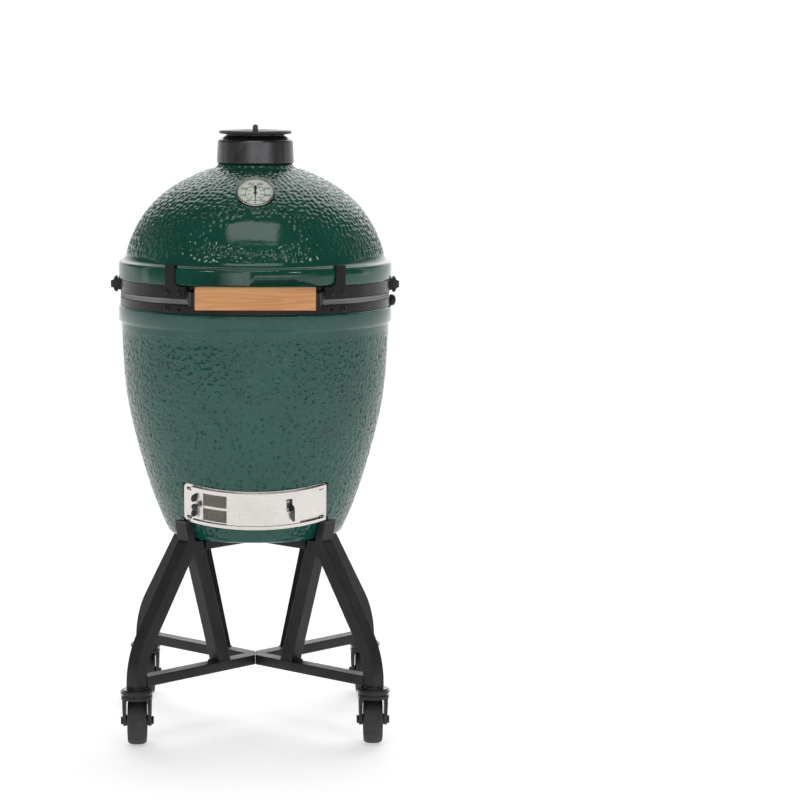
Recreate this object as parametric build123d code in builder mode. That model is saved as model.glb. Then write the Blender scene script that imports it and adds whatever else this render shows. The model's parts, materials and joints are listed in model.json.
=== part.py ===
from build123d import *
import os
from math import asin, atan2, cos, degrees, radians, sin, sqrt, tan

# Kamado grill: a two-part ceramic egg on a rolling steel stand.
# Millimetres, origin on the floor under the egg's axis, +Z up, front towards -Y.

os.makedirs("parts", exist_ok=True)

# ---- egg ----
egg_floor_z = 396.0        # underside of the ceramic base
base_rim_z = 877.0         # top of the base's rim
dome_rim_z = 887.5         # underside of the dome's rim
seam_gap = 0.4             # between the two felt gaskets
flange_r = 275.0           # outer flanges of base and dome
rim_r = 268.0              # outside of the rims, under the steel bands
rim_inner_r = 243.0
dome_shoulder_z = 966.0    # where the dome leaves its flange
neck_r = 70.5
neck_top_z = 1186.0
chimney_r = 50.0

# ---- inside the egg ----
fire_box_z = (426.4, 745.0)
grate_ledge_z = 506.0
fire_ring_z = (745.3, 858.0)
grid_z = 862.6             # middle of the cooking grid's rim wire
grid_r = 224.5
grid_wire_r = 4.0
grid_rod_r = 2.6
grid_pitch = 19.0

# ---- steel bands ----
band_r = 272.0
lower_band_z = (859.3, 876.3)
upper_band_z = (888.6, 912.6)
band_lug_reach = 291.0     # outermost point of the bolted ears
ear_bolt_x = 282.0
ear_bolt_r = 3.0
strap_half_angle = 42.0    # degrees each side of the front
strap_hole_angle = 32.5
strap_hole_r = 3.2
strap_bolt_angle = 38.5

# ---- front handle ----
handle_length = 232.0
handle_height = 43.5
handle_depth = 28.0
handle_front_y = -325.0
handle_z = 895.0
hook_x = 167.0             # centre of each dome hook
hook_width = 22.5
hook_top_z = 953.4
arm_thickness = 5.0

# ---- rear hinge ----
hinge_y = 297.0
hinge_z = 882.4
hinge_pin_r = 4.0
hinge_pin_clearance = 0.06
hinge_half_width = 57.0
hinge_rear_y = 325.0

# ---- chimney cap ----
cap_bottom_z = 1143.0
cap_top_z = 1199.5
cap_r = 77.4
vent_plate_z = (1199.8, 1201.3)
damper_bottom_z = 1201.6
damper_r = 73.0
cap_pivot = (-38.0, 38.0)
cap_pivot_r = 3.0
damper_hub_r = 5.0
petal_slots = 6

# ---- thermometer ----
dial_centre = (0.0, -181.0, 1096.0)
dial_tilt = 44.0           # degrees that the dial looks up
dial_case_r = 38.0
dial_case_depth = 12.0
dial_stem_length = 72.0

# ---- draft door: a bent plate on a leaning cylinder ----
door_lean = 13.0           # degrees
door_r = 205.0             # outside of the frame plate
door_height = 81.0
door_half_chord = 141.0
door_mid_z = 467.5
door_front_r = 211.0       # distance of the plate's middle from the egg's axis
slider_half_height = 33.5
window_x = (-103.0, -2.0)
window_half_height = 29.0
rail_lip_z = 31.5          # the rails' lips overlap the sliders beyond this height
screen_r = (205.5, 206.7)
solid_r = (207.3, 208.7)
rail_r = 209.3
rail_angles = (-37.2, 41.8)
pull_angle = 20.0          # solid slider's fin pull
knob_angle = -33.4         # screen slider's knob
mesh_angles = (-30.0, -4.0)
mesh_rows = ((2.6, 28.0), (-28.0, -2.6))

# ---- stand ----
tube = 30.0
tube_wall = 2.5
caster_rho = 330.4         # distance of each caster's stem from the axis
base_bar_z = (120.7, 140.7)
top_bar_z = (376.0, 395.8)
leg_top = (180.4, 408.0)   # apex of leg and strut, radius and height
leg_lean = 33.0            # degrees from vertical
leg_bend_r = 170.0
strut_foot = (101.0, 141.0)
cradle_height = 38.0
cradle_thickness = 18.0
cradle_lean = 20.0
cradle_inner_rho = 178.8
corner_names = {45: "rear_right", 135: "rear_left", 225: "front_left", 315: "front_right"}

# ---- casters ----
wheel_r = 48.0
wheel_width = 37.0
wheel_core_r = 35.0
caster_trail = 28.0        # the wheels trail towards +Y
fork_half_width = 28.0
fork_plate = 6.0           # depth of each cheek, with its turned edge
axle_r = 5.0
race_r = 32.0
kingpin_r = 6.0
crown_z = (98.0, 104.0)
race_top_z = 120.5


def save(builder, name):
    """Label a finished piece and write it as its own STEP file."""
    builder.part.label = name
    export_step(builder.part, f"parts/{name}.step")


def ring_sector(inner_r, outer_r, start, end):
    """Part of a flat ring between two angles, in degrees from -Y, counted towards +X."""
    with BuildSketch() as sector:
        with BuildLine():
            outer = CenterArc((0, 0), outer_r, start - 90, end - start)
            inner = CenterArc((0, 0), inner_r, start - 90, end - start)
            Line(outer @ 0, inner @ 0)
            Line(outer @ 1, inner @ 1)
        make_face()
    return sector.sketch


def radial_plane(angle):
    """Upright plane through the axis at a compass angle: local x is the radius, local y is height."""
    turn = radians(angle)
    return Plane(origin=(0, 0, 0), x_dir=(cos(turn), sin(turn), 0), z_dir=(sin(turn), -cos(turn), 0))


def front_plane(azimuth, radius, height):
    """Plane facing outwards from a cylinder of the given radius; azimuth in degrees from -Y towards +X."""
    turn = radians(azimuth)
    outward = (sin(turn), -cos(turn), 0)
    return Plane(origin=(radius * outward[0], radius * outward[1], height),
                 x_dir=(cos(turn), sin(turn), 0), z_dir=outward)


lean = radians(door_lean)
door_normal = (0, cos(lean), sin(lean))
door_up = (0, -sin(lean), cos(lean))
door_axis_point = (0, -door_front_r + door_r * cos(lean), door_mid_z + door_r * sin(lean))
door_plane = Plane(origin=door_axis_point, x_dir=(1, 0, 0), z_dir=door_up)
door_face = Plane(origin=(0, -door_front_r - 60 * cos(lean), door_mid_z - 60 * sin(lean)),
                  x_dir=(1, 0, 0), z_dir=door_normal)

tilt = radians(dial_tilt)
dial_plane = Plane(origin=dial_centre, x_dir=(1, 0, 0), z_dir=(0, -cos(tilt), sin(tilt)))


# ================= ceramics =================

def ceramic_base():
    with BuildPart() as base:
        with BuildSketch(Plane.XZ):
            with BuildLine():
                Line((0, egg_floor_z), (160, egg_floor_z))
                ThreePointArc((160, egg_floor_z), (169.5, 397.4), (176.5, 401.5))
                Spline((176.5, 401.5), (207, 475), (237, 574), (258, 668), (267.5, 771), (270.2, 823.5))
                ThreePointArc((270.2, 823.5), (271.8, 827.3), (flange_r, 830))
                Line((flange_r, 830), (flange_r, 855.5))
                ThreePointArc((flange_r, 855.5), (273.9, 858), (271.5, 859))
                Line((271.5, 859), (rim_r, 859))
                Line((rim_r, 859), (rim_r, base_rim_z))
                Line((rim_r, base_rim_z), (rim_inner_r, base_rim_z))
                Line((rim_inner_r, base_rim_z), (rim_inner_r, 819))
                Spline((rim_inner_r, 819), (240, 771), (231, 668), (210, 574), (180, 475), (150, 432))
                ThreePointArc((150, 432), (146, 428), (140, 426))
                Line((140, 426), (0, 426))
                Line((0, 426), (0, egg_floor_z))
            make_face()
        revolve(axis=Axis.Z)
        # cast seat behind the draft door
        with BuildSketch(door_plane.offset(-37)):
            add(ring_sector(door_r - 24, door_r - 2.4, -43.6, 43.6))
        extrude(amount=74)
        with BuildSketch(door_plane.offset(-41.1)):
            add(ring_sector(door_r - 2.4, door_r + 40, -44.3, 44.3))
        extrude(amount=82.2, mode=Mode.SUBTRACT)
        # draft opening
        with BuildSketch(door_face):
            with Locations(((window_x[0] + window_x[1]) / 2, 0)):
                Rectangle(window_x[1] - window_x[0], 2 * window_half_height)
        extrude(amount=140, mode=Mode.SUBTRACT)
    save(base, "ceramic_base")


def ceramic_dome():
    stem_hole_r = 5.0
    with BuildPart() as dome:
        with BuildSketch(Plane.XZ):
            with BuildLine():
                Line((rim_inner_r, dome_rim_z), (rim_r, dome_rim_z))
                Line((rim_r, dome_rim_z), (rim_r, 913))
                Line((rim_r, 913), (272, 913))
                ThreePointArc((272, 913), (274.3, 914), (flange_r, 916.3))
                Line((flange_r, 916.3), (flange_r, 942))
                ThreePointArc((flange_r, 942), (273.2, 946.6), (268.5, 949.5))
                ThreePointArc((268.5, 949.5), (262, 956), (259.4, dome_shoulder_z))
                Spline((259.4, dome_shoulder_z), (241, 1014), (203.5, 1066.5), (150, 1106.8), (92, 1132.6))
                ThreePointArc((92, 1132.6), (79.5, 1136.6), (75, cap_bottom_z))
                Line((75, cap_bottom_z), (neck_r, cap_bottom_z))
                Line((neck_r, cap_bottom_z), (neck_r, neck_top_z))
                Line((neck_r, neck_top_z), (chimney_r, neck_top_z))
                Line((chimney_r, neck_top_z), (chimney_r, 1121))
                Spline((chimney_r, 1121), (135, 1085), (184, 1047), (219, 1000), (236, 958))
                Line((236, 958), (rim_inner_r, 925))
                Line((rim_inner_r, 925), (rim_inner_r, dome_rim_z))
            make_face()
        revolve(axis=Axis.Z)
        # shallow seat and stem hole for the thermometer
        with BuildSketch(dial_plane.offset(-dial_case_depth - 0.5)):
            Circle(dial_case_r + 0.8)
        extrude(amount=40, mode=Mode.SUBTRACT)
        with BuildSketch(dial_plane.offset(-dial_case_depth)):
            Circle(stem_hole_r)
        extrude(amount=-60, mode=Mode.SUBTRACT)
    save(dome, "ceramic_dome")


def gaskets():
    middle = (base_rim_z + dome_rim_z) / 2
    layers = {
        "base_gasket": (base_rim_z, middle - seam_gap / 2),
        "dome_gasket": (middle + seam_gap / 2, dome_rim_z),
    }
    for name, (low, high) in layers.items():
        with BuildPart() as gasket:
            with BuildSketch(Plane.XY.offset(low)):
                Circle(band_r - 1)
                Circle(rim_inner_r + 1, mode=Mode.SUBTRACT)
            extrude(amount=high - low)
        save(gasket, name)


# ================= fire box, ring, grate and grid =================

def fire_box():
    air_hole_r = 8.0
    air_holes = 8
    with BuildPart() as box:
        with BuildSketch(Plane.XZ):
            with BuildLine():
                Line((98, fire_box_z[0]), (130, fire_box_z[0]))
                Spline((130, fire_box_z[0]), (166, 478), (196, 574), (216, 668), (225, fire_box_z[1]))
                Line((225, fire_box_z[1]), (201, fire_box_z[1]))
                Spline((201, fire_box_z[1]), (192, 668), (170, 590), (148, 535), (122, grate_ledge_z + 12))
                Line((122, grate_ledge_z + 12), (122, grate_ledge_z))
                Line((122, grate_ledge_z), (98, grate_ledge_z))
                Line((98, grate_ledge_z), (98, fire_box_z[0]))
            make_face()
        revolve(axis=Axis.Z)
        # ash opening in line with the draft door
        with BuildSketch(Plane.XZ):
            with Locations(((window_x[0] + window_x[1]) / 2, fire_box_z[0] + 31)):
                Rectangle(window_x[1] - window_x[0] - 6, 64)
        extrude(amount=240, mode=Mode.SUBTRACT)
        with BuildSketch(Plane.XY.offset(600)):
            with PolarLocations(190, air_holes, start_angle=22.5):
                Rectangle(90, 2 * air_hole_r)
        extrude(amount=2 * air_hole_r, mode=Mode.SUBTRACT)
    save(box, "fire_box")


def fire_ring():
    with BuildPart() as ring:
        with BuildSketch(Plane.XZ):
            with BuildLine():
                Polyline((203, fire_ring_z[0]), (226, fire_ring_z[0]), (231, 800), (231, fire_ring_z[1]),
                         (208, fire_ring_z[1]), (208, 800), close=True)
            make_face()
        revolve(axis=Axis.Z)
    save(ring, "fire_ring")


def fire_grate():
    with BuildPart() as grate:
        with BuildSketch(Plane.XY.offset(grate_ledge_z + 0.3)):
            Circle(118)
            for slot_r, count in ((34, 6), (66, 12), (98, 18)):
                with PolarLocations(slot_r, count):
                    SlotOverall(24, 8, mode=Mode.SUBTRACT)
            Circle(7, mode=Mode.SUBTRACT)
        extrude(amount=10)
        fillet(grate.edges().filter_by(GeomType.CIRCLE).sort_by(SortBy.RADIUS)[-2:], 2)
    save(grate, "fire_grate")


def cooking_grid():
    rods = int(grid_r // grid_pitch)
    with BuildPart() as grid:
        with BuildSketch(Plane.XZ):
            with Locations((grid_r, 0)):
                Circle(grid_wire_r)
        revolve(axis=Axis.Z)
        for step in range(-rods, rods + 1):
            offset_y = step * grid_pitch
            half_length = sqrt(grid_r**2 - offset_y**2)
            with BuildSketch(Plane.YZ.offset(-half_length)):
                with Locations((offset_y, 1.0)):
                    Circle(grid_rod_r)
            extrude(amount=2 * half_length)
        for offset_x in (-110, 110):
            half_length = sqrt(grid_r**2 - offset_x**2)
            with BuildSketch(Plane.XZ.offset(-half_length)):
                with Locations((offset_x, -1.4)):
                    Circle(grid_rod_r)
            extrude(amount=2 * half_length)
    grid.part = grid.part.moved(Location((0, 0, grid_z)))
    save(grid, "cooking_grid")


# ================= steel bands and front handle =================


def ear_outline(side):
    """Front view of a band's ear: its root along the band, two lobes and a blunt nose."""
    middle = sum(upper_band_z) / 2
    half = [(band_r - 3, 12), (277, 12), (278, 16.5), (283, 15), (286, 8), (band_lug_reach, 6.5)]
    outline = half + [(x, -z) for x, z in reversed(half)]
    with BuildSketch() as ear:
        with BuildLine():
            Polyline(*[(side * x, middle + z) for x, z in outline], close=True)
        make_face()
    return ear.sketch


def half_band(name, z_range, rear):
    """Half of a band, from one side of the egg to the other, with an outward ear at each end."""
    low, high = z_range
    ear_gap = 1.6
    ear_thickness = 4.0
    middle = 180 if rear else 0
    end_angle = 90 - degrees(asin(ear_gap / band_r))
    forward = -1 if rear else 1
    with BuildPart() as band:
        with BuildSketch(Plane.XY.offset(low)):
            add(ring_sector(rim_r + 0.3, band_r, middle - end_angle, middle + end_angle))
        extrude(amount=high - low)
        with BuildSketch(Plane.XZ.offset(forward * ear_gap)):
            add(ear_outline(-1))
            add(ear_outline(1))
        extrude(amount=forward * ear_thickness)
        with BuildSketch(Plane.XZ.offset(-40)):
            with Locations((-ear_bolt_x, (low + high) / 2), (ear_bolt_x, (low + high) / 2)):
                Circle(ear_bolt_r)
        extrude(amount=80, mode=Mode.SUBTRACT)
    save(band, name)


def ear_bolts():
    """Cap screw and nut through each pair of band ears."""
    z_middle = sum(upper_band_z) / 2
    with BuildPart() as bolts:
        with BuildSketch(Plane.XZ.offset(5.6)):
            with Locations((-ear_bolt_x, z_middle), (ear_bolt_x, z_middle)):
                RegularPolygon(7.5, 6)
        extrude(amount=5)
        with BuildSketch(Plane.XZ.offset(-5.6)):
            with Locations((-ear_bolt_x, z_middle), (ear_bolt_x, z_middle)):
                RegularPolygon(7.5, 6)
        extrude(amount=-6)
        with BuildSketch(Plane.XZ.offset(-16)):
            with Locations((-ear_bolt_x, z_middle), (ear_bolt_x, z_middle)):
                Circle(ear_bolt_r)
        extrude(amount=24)
    return bolts.part


def lower_band():
    """Band round the rim of the base."""
    low, high = lower_band_z
    with BuildPart() as band:
        with BuildSketch(Plane.XY.offset(low)):
            Circle(band_r)
            Circle(rim_r + 0.3, mode=Mode.SUBTRACT)
        extrude(amount=high - low)
    save(band, "lower_band")


def front_strap():
    """Strap over the front of the lower band, with an accessory hole near each end."""
    low, high = lower_band_z
    with BuildPart() as strap:
        with BuildSketch(Plane.XY.offset(low)):
            add(ring_sector(band_r, band_r + 3, -strap_half_angle, strap_half_angle))
        extrude(amount=high - low)
        for side in (-1, 1):
            with BuildSketch(front_plane(side * strap_hole_angle, band_r - 1, (low + high) / 2)):
                Circle(strap_hole_r)
            extrude(amount=6, mode=Mode.SUBTRACT)
    save(strap, "front_strap")


def round_head(plane, head_r, head_height):
    """Domed screw head standing on a plane."""
    with BuildPart() as head:
        with BuildSketch(plane):
            Circle(head_r)
        extrude(amount=head_height)
        rims = head.edges().filter_by(GeomType.CIRCLE)
        fillet(rims.sort_by(lambda rim: rim.center().dot(plane.z_dir))[-1], head_height * 0.6)
    return head.part


def lower_band_bolts():
    """Screws of the front strap, and the round clamp knob on the band's right side."""
    middle = sum(lower_band_z) / 2
    with BuildPart() as bolts:
        for side in (-1, 1):
            add(round_head(front_plane(side * strap_bolt_angle, band_r + 3, middle), 6.5, 4.5))
        with BuildSketch(front_plane(91, band_r, middle)):
            Circle(5)
        extrude(amount=4)
        add(round_head(front_plane(91, band_r + 3.4, middle), 11.5, 9.6))
    save(bolts, "lower_band_bolts")


def hook_bracket(name, side):
    """Bracket on the upper band: a hook over the dome's flange, and the arm that carries the handle."""
    low, high = upper_band_z
    face_r = flange_r + 4.2
    lip_thickness = 3.2
    hook_angle = degrees(asin(hook_x / face_r))
    half_hook = degrees(hook_width / 2 / flange_r)
    foot_inner_angle = hook_angle - half_hook - 5.5
    arm_end_x = handle_length / 2 + 7
    arm_z = (handle_z - 16, handle_z + 10)
    web_x = face_r * sin(radians(hook_angle - half_hook))
    hook_sides = sorted((side * (hook_angle - half_hook), side * (hook_angle + half_hook)))
    foot_sides = sorted((side * foot_inner_angle, side * (hook_angle + half_hook)))
    with BuildPart() as bracket:
        # foot on the band
        with BuildSketch(Plane.XY.offset(low)):
            add(ring_sector(band_r, face_r, *foot_sides))
        extrude(amount=high - low - 0.6)
        # upright strap in front of the flange
        with BuildSketch(Plane.XY.offset(high - 8)):
            add(ring_sector(flange_r + 0.4, face_r, *hook_sides))
        extrude(amount=hook_top_z - high + 8)
        # lip over the top of the flange
        with BuildSketch(Plane.XY.offset(hook_top_z - lip_thickness)):
            add(ring_sector(flange_r - 6.5, face_r, *hook_sides))
        extrude(amount=lip_thickness)
        # web that eases the strap into the foot
        with BuildPart() as web:
            with BuildSketch(Plane.XY.offset(high - 8)):
                add(ring_sector(flange_r + 0.4, face_r, *foot_sides))
            extrude(amount=24)
            with BuildSketch(Plane.XZ.offset(200)):
                with BuildLine():
                    ThreePointArc((side * web_x, high + 12), (side * (web_x - 3), high + 3.5),
                                  (side * (web_x - 11), high - 0.2))
                    Line((side * (web_x - 11), high - 0.2), (side * (web_x - 11), high - 7))
                    Line((side * (web_x - 11), high - 7), (side * (web_x + 4), high - 7))
                    Line((side * (web_x + 4), high - 7), (side * (web_x + 4), high + 12))
                    Line((side * (web_x + 4), high + 12), (side * web_x, high + 12))
                make_face()
            extrude(amount=100, mode=Mode.INTERSECT)
        add(web.part)
        # arm, its lower edge sloping down to the handle
        foot_turn = radians(foot_inner_angle + 0.6)
        root_point = (side * (flange_r + 1.5) * sin(foot_turn), -(flange_r + 1.5) * cos(foot_turn))
        elbow_point = (side * arm_end_x, handle_front_y + handle_depth + arm_thickness / 2)
        tip_point = (side * (handle_length / 2 - 32), handle_front_y + handle_depth + arm_thickness / 2)
        with BuildPart() as arm:
            with BuildSketch(Plane.XY.offset(arm_z[0])):
                with BuildLine():
                    FilletPolyline(root_point, elbow_point, tip_point, radius=5)
                trace(line_width=arm_thickness)
            extrude(amount=arm_z[1] - arm_z[0])
            with BuildSketch(Plane.YZ.offset(-200)):
                with BuildLine():
                    Polyline((-200, low + 0.4), (-268, low + 0.4), (elbow_point[1] + 6, arm_z[0]),
                             (-310, arm_z[0]), (-310, arm_z[1]), (-200, arm_z[1]), close=True)
                make_face()
            extrude(amount=400, mode=Mode.INTERSECT)
        add(arm.part)
    save(bracket, name)


def handle():
    half = handle_length / 2
    with BuildPart() as wood:
        with BuildSketch(Plane.YZ.offset(-half)):
            with Locations((handle_front_y + handle_depth / 2, handle_z)):
                RectangleRounded(handle_depth, handle_height, 5)
        extrude(amount=handle_length)
        fillet(wood.faces().sort_by(Axis.X)[0].edges() + wood.faces().sort_by(Axis.X)[-1].edges(), 1.5)
    save(wood, "wood_handle")


def dome_fasteners():
    """The ear bolts, two screws into the back of each end of the wood, two through each bracket foot."""
    back_y = handle_front_y + handle_depth + arm_thickness
    hook_angle = degrees(asin(hook_x / (flange_r + 4)))
    foot_middle_z = sum(upper_band_z) / 2 - 0.3
    with BuildPart() as fasteners:
        add(ear_bolts())
        for side in (-1, 1):
            for inset in (8, 22):
                back = Plane(origin=(side * (handle_length / 2 - inset), back_y, handle_z),
                             x_dir=(1, 0, 0), z_dir=(0, 1, 0))
                add(round_head(back, 5.0, 3.0))
            for turn in (hook_angle + 1.2, hook_angle - 4.6):
                add(round_head(front_plane(side * turn, flange_r + 4.2, foot_middle_z), 5.6, 4.0))
    save(fasteners, "dome_fasteners")


# ================= rear hinge =================

def lower_hinge_bracket():
    """Plate on the lower band with two cheeks and the rear stop bar."""
    low, high = lower_band_z
    cheek = 5.0
    with BuildPart() as bracket:
        with BuildSketch(Plane.XY.offset(low)):
            add(ring_sector(band_r, band_r + 4, 167, 193))
        extrude(amount=high - low)
        for x in (-hinge_half_width, hinge_half_width - cheek):
            with BuildSketch(Plane.YZ.offset(x)):
                with BuildLine():
                    Polyline((268, low), (hinge_rear_y - 12, low), (hinge_rear_y - 3, 862),
                             (hinge_rear_y - 3, 874), (hinge_y + 9, hinge_z), (hinge_y - 9, hinge_z),
                             (hinge_y - 11, high), (268, high), close=True)
                make_face()
                with Locations((hinge_y, hinge_z)):
                    Circle(9)
                    Circle(hinge_pin_r, mode=Mode.SUBTRACT)
            extrude(amount=cheek)
        with BuildSketch(Plane.YZ.offset(-hinge_half_width)):
            with Locations((hinge_rear_y - 7, 866)):
                Circle(7)
        extrude(amount=2 * hinge_half_width)
        with BuildSketch(Plane.XY.offset(low)):
            Circle(band_r)
        extrude(amount=high - low, mode=Mode.SUBTRACT)
    save(bracket, "lower_hinge_bracket")


def upper_hinge_bracket():
    """Plate on the upper band with two cheeks that turn on the hinge pin."""
    low, high = upper_band_z
    cheek = 5.0
    inner = hinge_half_width - 2 * cheek - 0.6
    with BuildPart() as bracket:
        with BuildSketch(Plane.XY.offset(low + 1)):
            add(ring_sector(band_r, band_r + 4, 169.2, 190.8))
        extrude(amount=high - low - 1.6)
        for x in (-inner - cheek, inner):
            with BuildSketch(Plane.YZ.offset(x)):
                with BuildLine():
                    Polyline((262, low + 1), (hinge_y - 9, hinge_z), (hinge_y + 9, hinge_z),
                             (hinge_y - 4, high - 0.6), (262, high - 0.6), close=True)
                make_face()
                with Locations((hinge_y, hinge_z)):
                    Circle(9)
                    Circle(hinge_pin_r + hinge_pin_clearance, mode=Mode.SUBTRACT)
            extrude(amount=cheek)
        with BuildSketch(Plane.XY.offset(low)):
            Circle(band_r)
        extrude(amount=high - low, mode=Mode.SUBTRACT)
    save(bracket, "upper_hinge_bracket")


def hinge_pin():
    with BuildPart() as pin:
        with BuildSketch(Plane.YZ.offset(-hinge_half_width - 0.2)):
            with Locations((hinge_y, hinge_z)):
                Circle(hinge_pin_r)
        extrude(amount=2 * hinge_half_width + 0.4)
        for x, way in ((-hinge_half_width - 0.2, -1), (hinge_half_width + 0.2, 1)):
            with BuildSketch(Plane.YZ.offset(x)):
                with Locations((hinge_y, hinge_z)):
                    Circle(hinge_pin_r + 3)
            extrude(amount=way * 4)
    save(pin, "hinge_pin")


def hinge_springs():
    """Two torsion springs round the hinge pin, as plain sleeves of the coils' size."""
    coil_inner_r = 5.5
    coil_outer_r = 10.0
    with BuildPart() as springs:
        for x in (-40, 4):
            with BuildSketch(Plane.YZ.offset(x)):
                with Locations((hinge_y, hinge_z)):
                    Circle(coil_outer_r)
                    Circle(coil_inner_r, mode=Mode.SUBTRACT)
            extrude(amount=36)
    save(springs, "hinge_springs")


# ================= chimney cap =================

def petals(inner_r, outer_r, width):
    """Ring of rounded vent slots pointing outwards."""
    with BuildSketch() as slots:
        with PolarLocations((inner_r + outer_r) / 2, petal_slots):
            SlotOverall(outer_r - inner_r, width)
    return slots.sketch


def cap_body():
    top_plate = 8.0
    with BuildPart() as cap:
        with BuildSketch(Plane.XZ):
            with BuildLine():
                Polyline((71.3, cap_bottom_z + 0.1), (75.4, cap_bottom_z + 0.1), (cap_r, cap_bottom_z + 3),
                         (75.6, 1187), (74, 1190.5), (59, cap_top_z),
                         (chimney_r, cap_top_z), (chimney_r, cap_top_z - top_plate),
                         (71.3, cap_top_z - top_plate), close=True)
            make_face()
        revolve(axis=Axis.Z)
        with BuildSketch(Plane.XY.offset(1180)):
            with Locations(cap_pivot):
                Circle(cap_pivot_r)
        extrude(amount=40, mode=Mode.SUBTRACT)
    save(cap, "cap_body")


def cap_pivot_pin():
    with BuildPart() as pin:
        with BuildSketch(Plane.XY.offset(cap_top_z - 8)):
            with Locations(cap_pivot):
                Circle(cap_pivot_r)
        extrude(amount=vent_plate_z[1] - cap_top_z + 8)
    save(pin, "cap_pivot_pin")


def vent_plate():
    """Swinging plate over the chimney, with a hub for the damper disc."""
    with BuildPart() as plate:
        with BuildSketch(Plane.XY.offset(vent_plate_z[0])):
            Circle(58)
            add(petals(16, 46, 13), mode=Mode.SUBTRACT)
            with Locations(cap_pivot):
                Circle(cap_pivot_r + 0.06, mode=Mode.SUBTRACT)
        extrude(amount=vent_plate_z[1] - vent_plate_z[0])
        with BuildSketch(Plane.XY.offset(vent_plate_z[1])):
            Circle(damper_hub_r)
        extrude(amount=11.5)
    save(plate, "vent_plate")


def damper_disc():
    """Lens-shaped disc that turns on the hub, with an upright tab at its front rim."""
    with BuildPart() as disc:
        with BuildSketch(Plane.XZ):
            with BuildLine():
                Line((0, damper_bottom_z), (60, damper_bottom_z))
                Line((60, damper_bottom_z), (70, 1203))
                ThreePointArc((70, 1203), (damper_r, 1206.4), (70, 1209.6))
                ThreePointArc((70, 1209.6), (38, 1211), (0, 1211.6))
                Line((0, 1211.6), (0, damper_bottom_z))
            make_face()
        revolve(axis=Axis.Z)
        with BuildSketch(Plane.XY.offset(1190)):
            add(petals(16, 46, 13))
            Circle(damper_hub_r + 0.06)
        extrude(amount=40, mode=Mode.SUBTRACT)
        with BuildSketch(Plane.XZ.offset(56)):
            with BuildLine():
                Line((-5.9, 1204), (-5.3, 1216))
                ThreePointArc((-5.3, 1216), (0, 1223), (5.3, 1216))
                Line((5.3, 1216), (5.9, 1204))
                Line((5.9, 1204), (-5.9, 1204))
            make_face()
        extrude(amount=14)
    save(disc, "damper_disc")


# ================= thermometer =================

def thermometer():
    lip = 3.0
    cavity_depth = 8.0
    with BuildPart() as case:
        with BuildSketch(dial_plane.offset(-dial_case_depth)):
            Circle(dial_case_r - 1.5)
        extrude(amount=dial_case_depth - 3)
        with BuildSketch(dial_plane.offset(-4)):
            Circle(dial_case_r)
        extrude(amount=4)
        fillet(case.faces().sort_by(lambda f: f.center().dot(dial_plane.z_dir))[-1].edges(), 1.5)
        with BuildSketch(dial_plane.offset(-cavity_depth)):
            Circle(dial_case_r - lip)
        extrude(amount=cavity_depth + 1, mode=Mode.SUBTRACT)
        with BuildSketch(dial_plane.offset(-dial_case_depth)):
            Circle(2.5)
        extrude(amount=-dial_stem_length)
    save(case, "thermometer_case")

    with BuildPart() as dial:
        with BuildSketch(dial_plane.offset(-cavity_depth)):
            Circle(dial_case_r - lip - 0.05)
            Circle(1.6, mode=Mode.SUBTRACT)
        extrude(amount=1.2)
    save(dial, "thermometer_dial")

    with BuildPart() as needle:
        with BuildSketch(dial_plane.offset(-cavity_depth + 1.6)):
            Circle(3.4)
            with BuildLine():
                Polyline((-1.5, 14), (1.5, 14), (1.1, -29), (0, -31), (-1.1, -29), close=True)
            make_face()
        extrude(amount=0.8)
        with BuildSketch(dial_plane.offset(-cavity_depth + 0.1)):
            Circle(1.5)
        extrude(amount=2)
    save(needle, "thermometer_needle")

    with BuildPart() as glass:
        with BuildSketch(dial_plane.offset(-3.2)):
            Circle(dial_case_r - lip - 0.05)
        extrude(amount=1.8)
    save(glass, "thermometer_glass")


# ================= draft door =================

def curved_box(inner_r, outer_r, start, end, low, high):
    """Piece of a ring in the draft door's own leaning frame."""
    with BuildPart() as piece:
        with BuildSketch(door_plane.offset(low)):
            add(ring_sector(inner_r, outer_r, start, end))
        extrude(amount=high - low)
    return piece.part


def door_radial(angle, radius, height):
    """Plane facing outwards from the door's cylinder, its local y running up the door."""
    turn = radians(angle)
    across = Vector(1, 0, 0)
    inward = Vector(door_normal)
    outward = across * sin(turn) - inward * cos(turn)
    return Plane(origin=door_plane.from_local_coords(Vector(radius * sin(turn), -radius * cos(turn), height)),
                 x_dir=across * cos(turn) + inward * sin(turn), z_dir=outward)


def draft_corners():
    """Planes on the frame plate at its four fixing screws."""
    corner_angle = 39.6
    corner_height = 30.0
    return [door_radial(side * corner_angle, door_r - 2.4, height)
            for side in (-1, 1) for height in (-corner_height, corner_height)]


def draft_frame():
    corner_r = 11.0
    with BuildPart() as frame:
        with BuildSketch(door_plane.offset(-door_height / 2)):
            add(ring_sector(door_r - 2, door_r, -50, 50))
        extrude(amount=door_height)
        with BuildSketch(door_face):
            RectangleRounded(2 * door_half_chord, door_height, corner_r)
        extrude(amount=220, mode=Mode.INTERSECT)
        with BuildSketch(door_face):
            with Locations(((window_x[0] + window_x[1]) / 2, 0)):
                Rectangle(window_x[1] - window_x[0], 2 * window_half_height)
        extrude(amount=140, mode=Mode.SUBTRACT)
        for low, high in ((slider_half_height + 0.3, 37.5), (-37.5, -slider_half_height - 0.3)):
            add(curved_box(door_r, rail_r, *rail_angles, low, high))
        for low, high in ((rail_lip_z, 37.5), (-37.5, -rail_lip_z)):
            add(curved_box(rail_r, rail_r + 1.2, *rail_angles, low, high))
        for corner in draft_corners():
            with BuildSketch(corner.offset(-3)):
                SlotOverall(12.5, 6.8)
            extrude(amount=6, mode=Mode.SUBTRACT)
    save(frame, "draft_frame")


def draft_frame_screws():
    with BuildPart() as screws:
        for corner in draft_corners():
            add(round_head(corner, 3.2, 4.2))
    save(screws, "draft_frame_screws")


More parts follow.
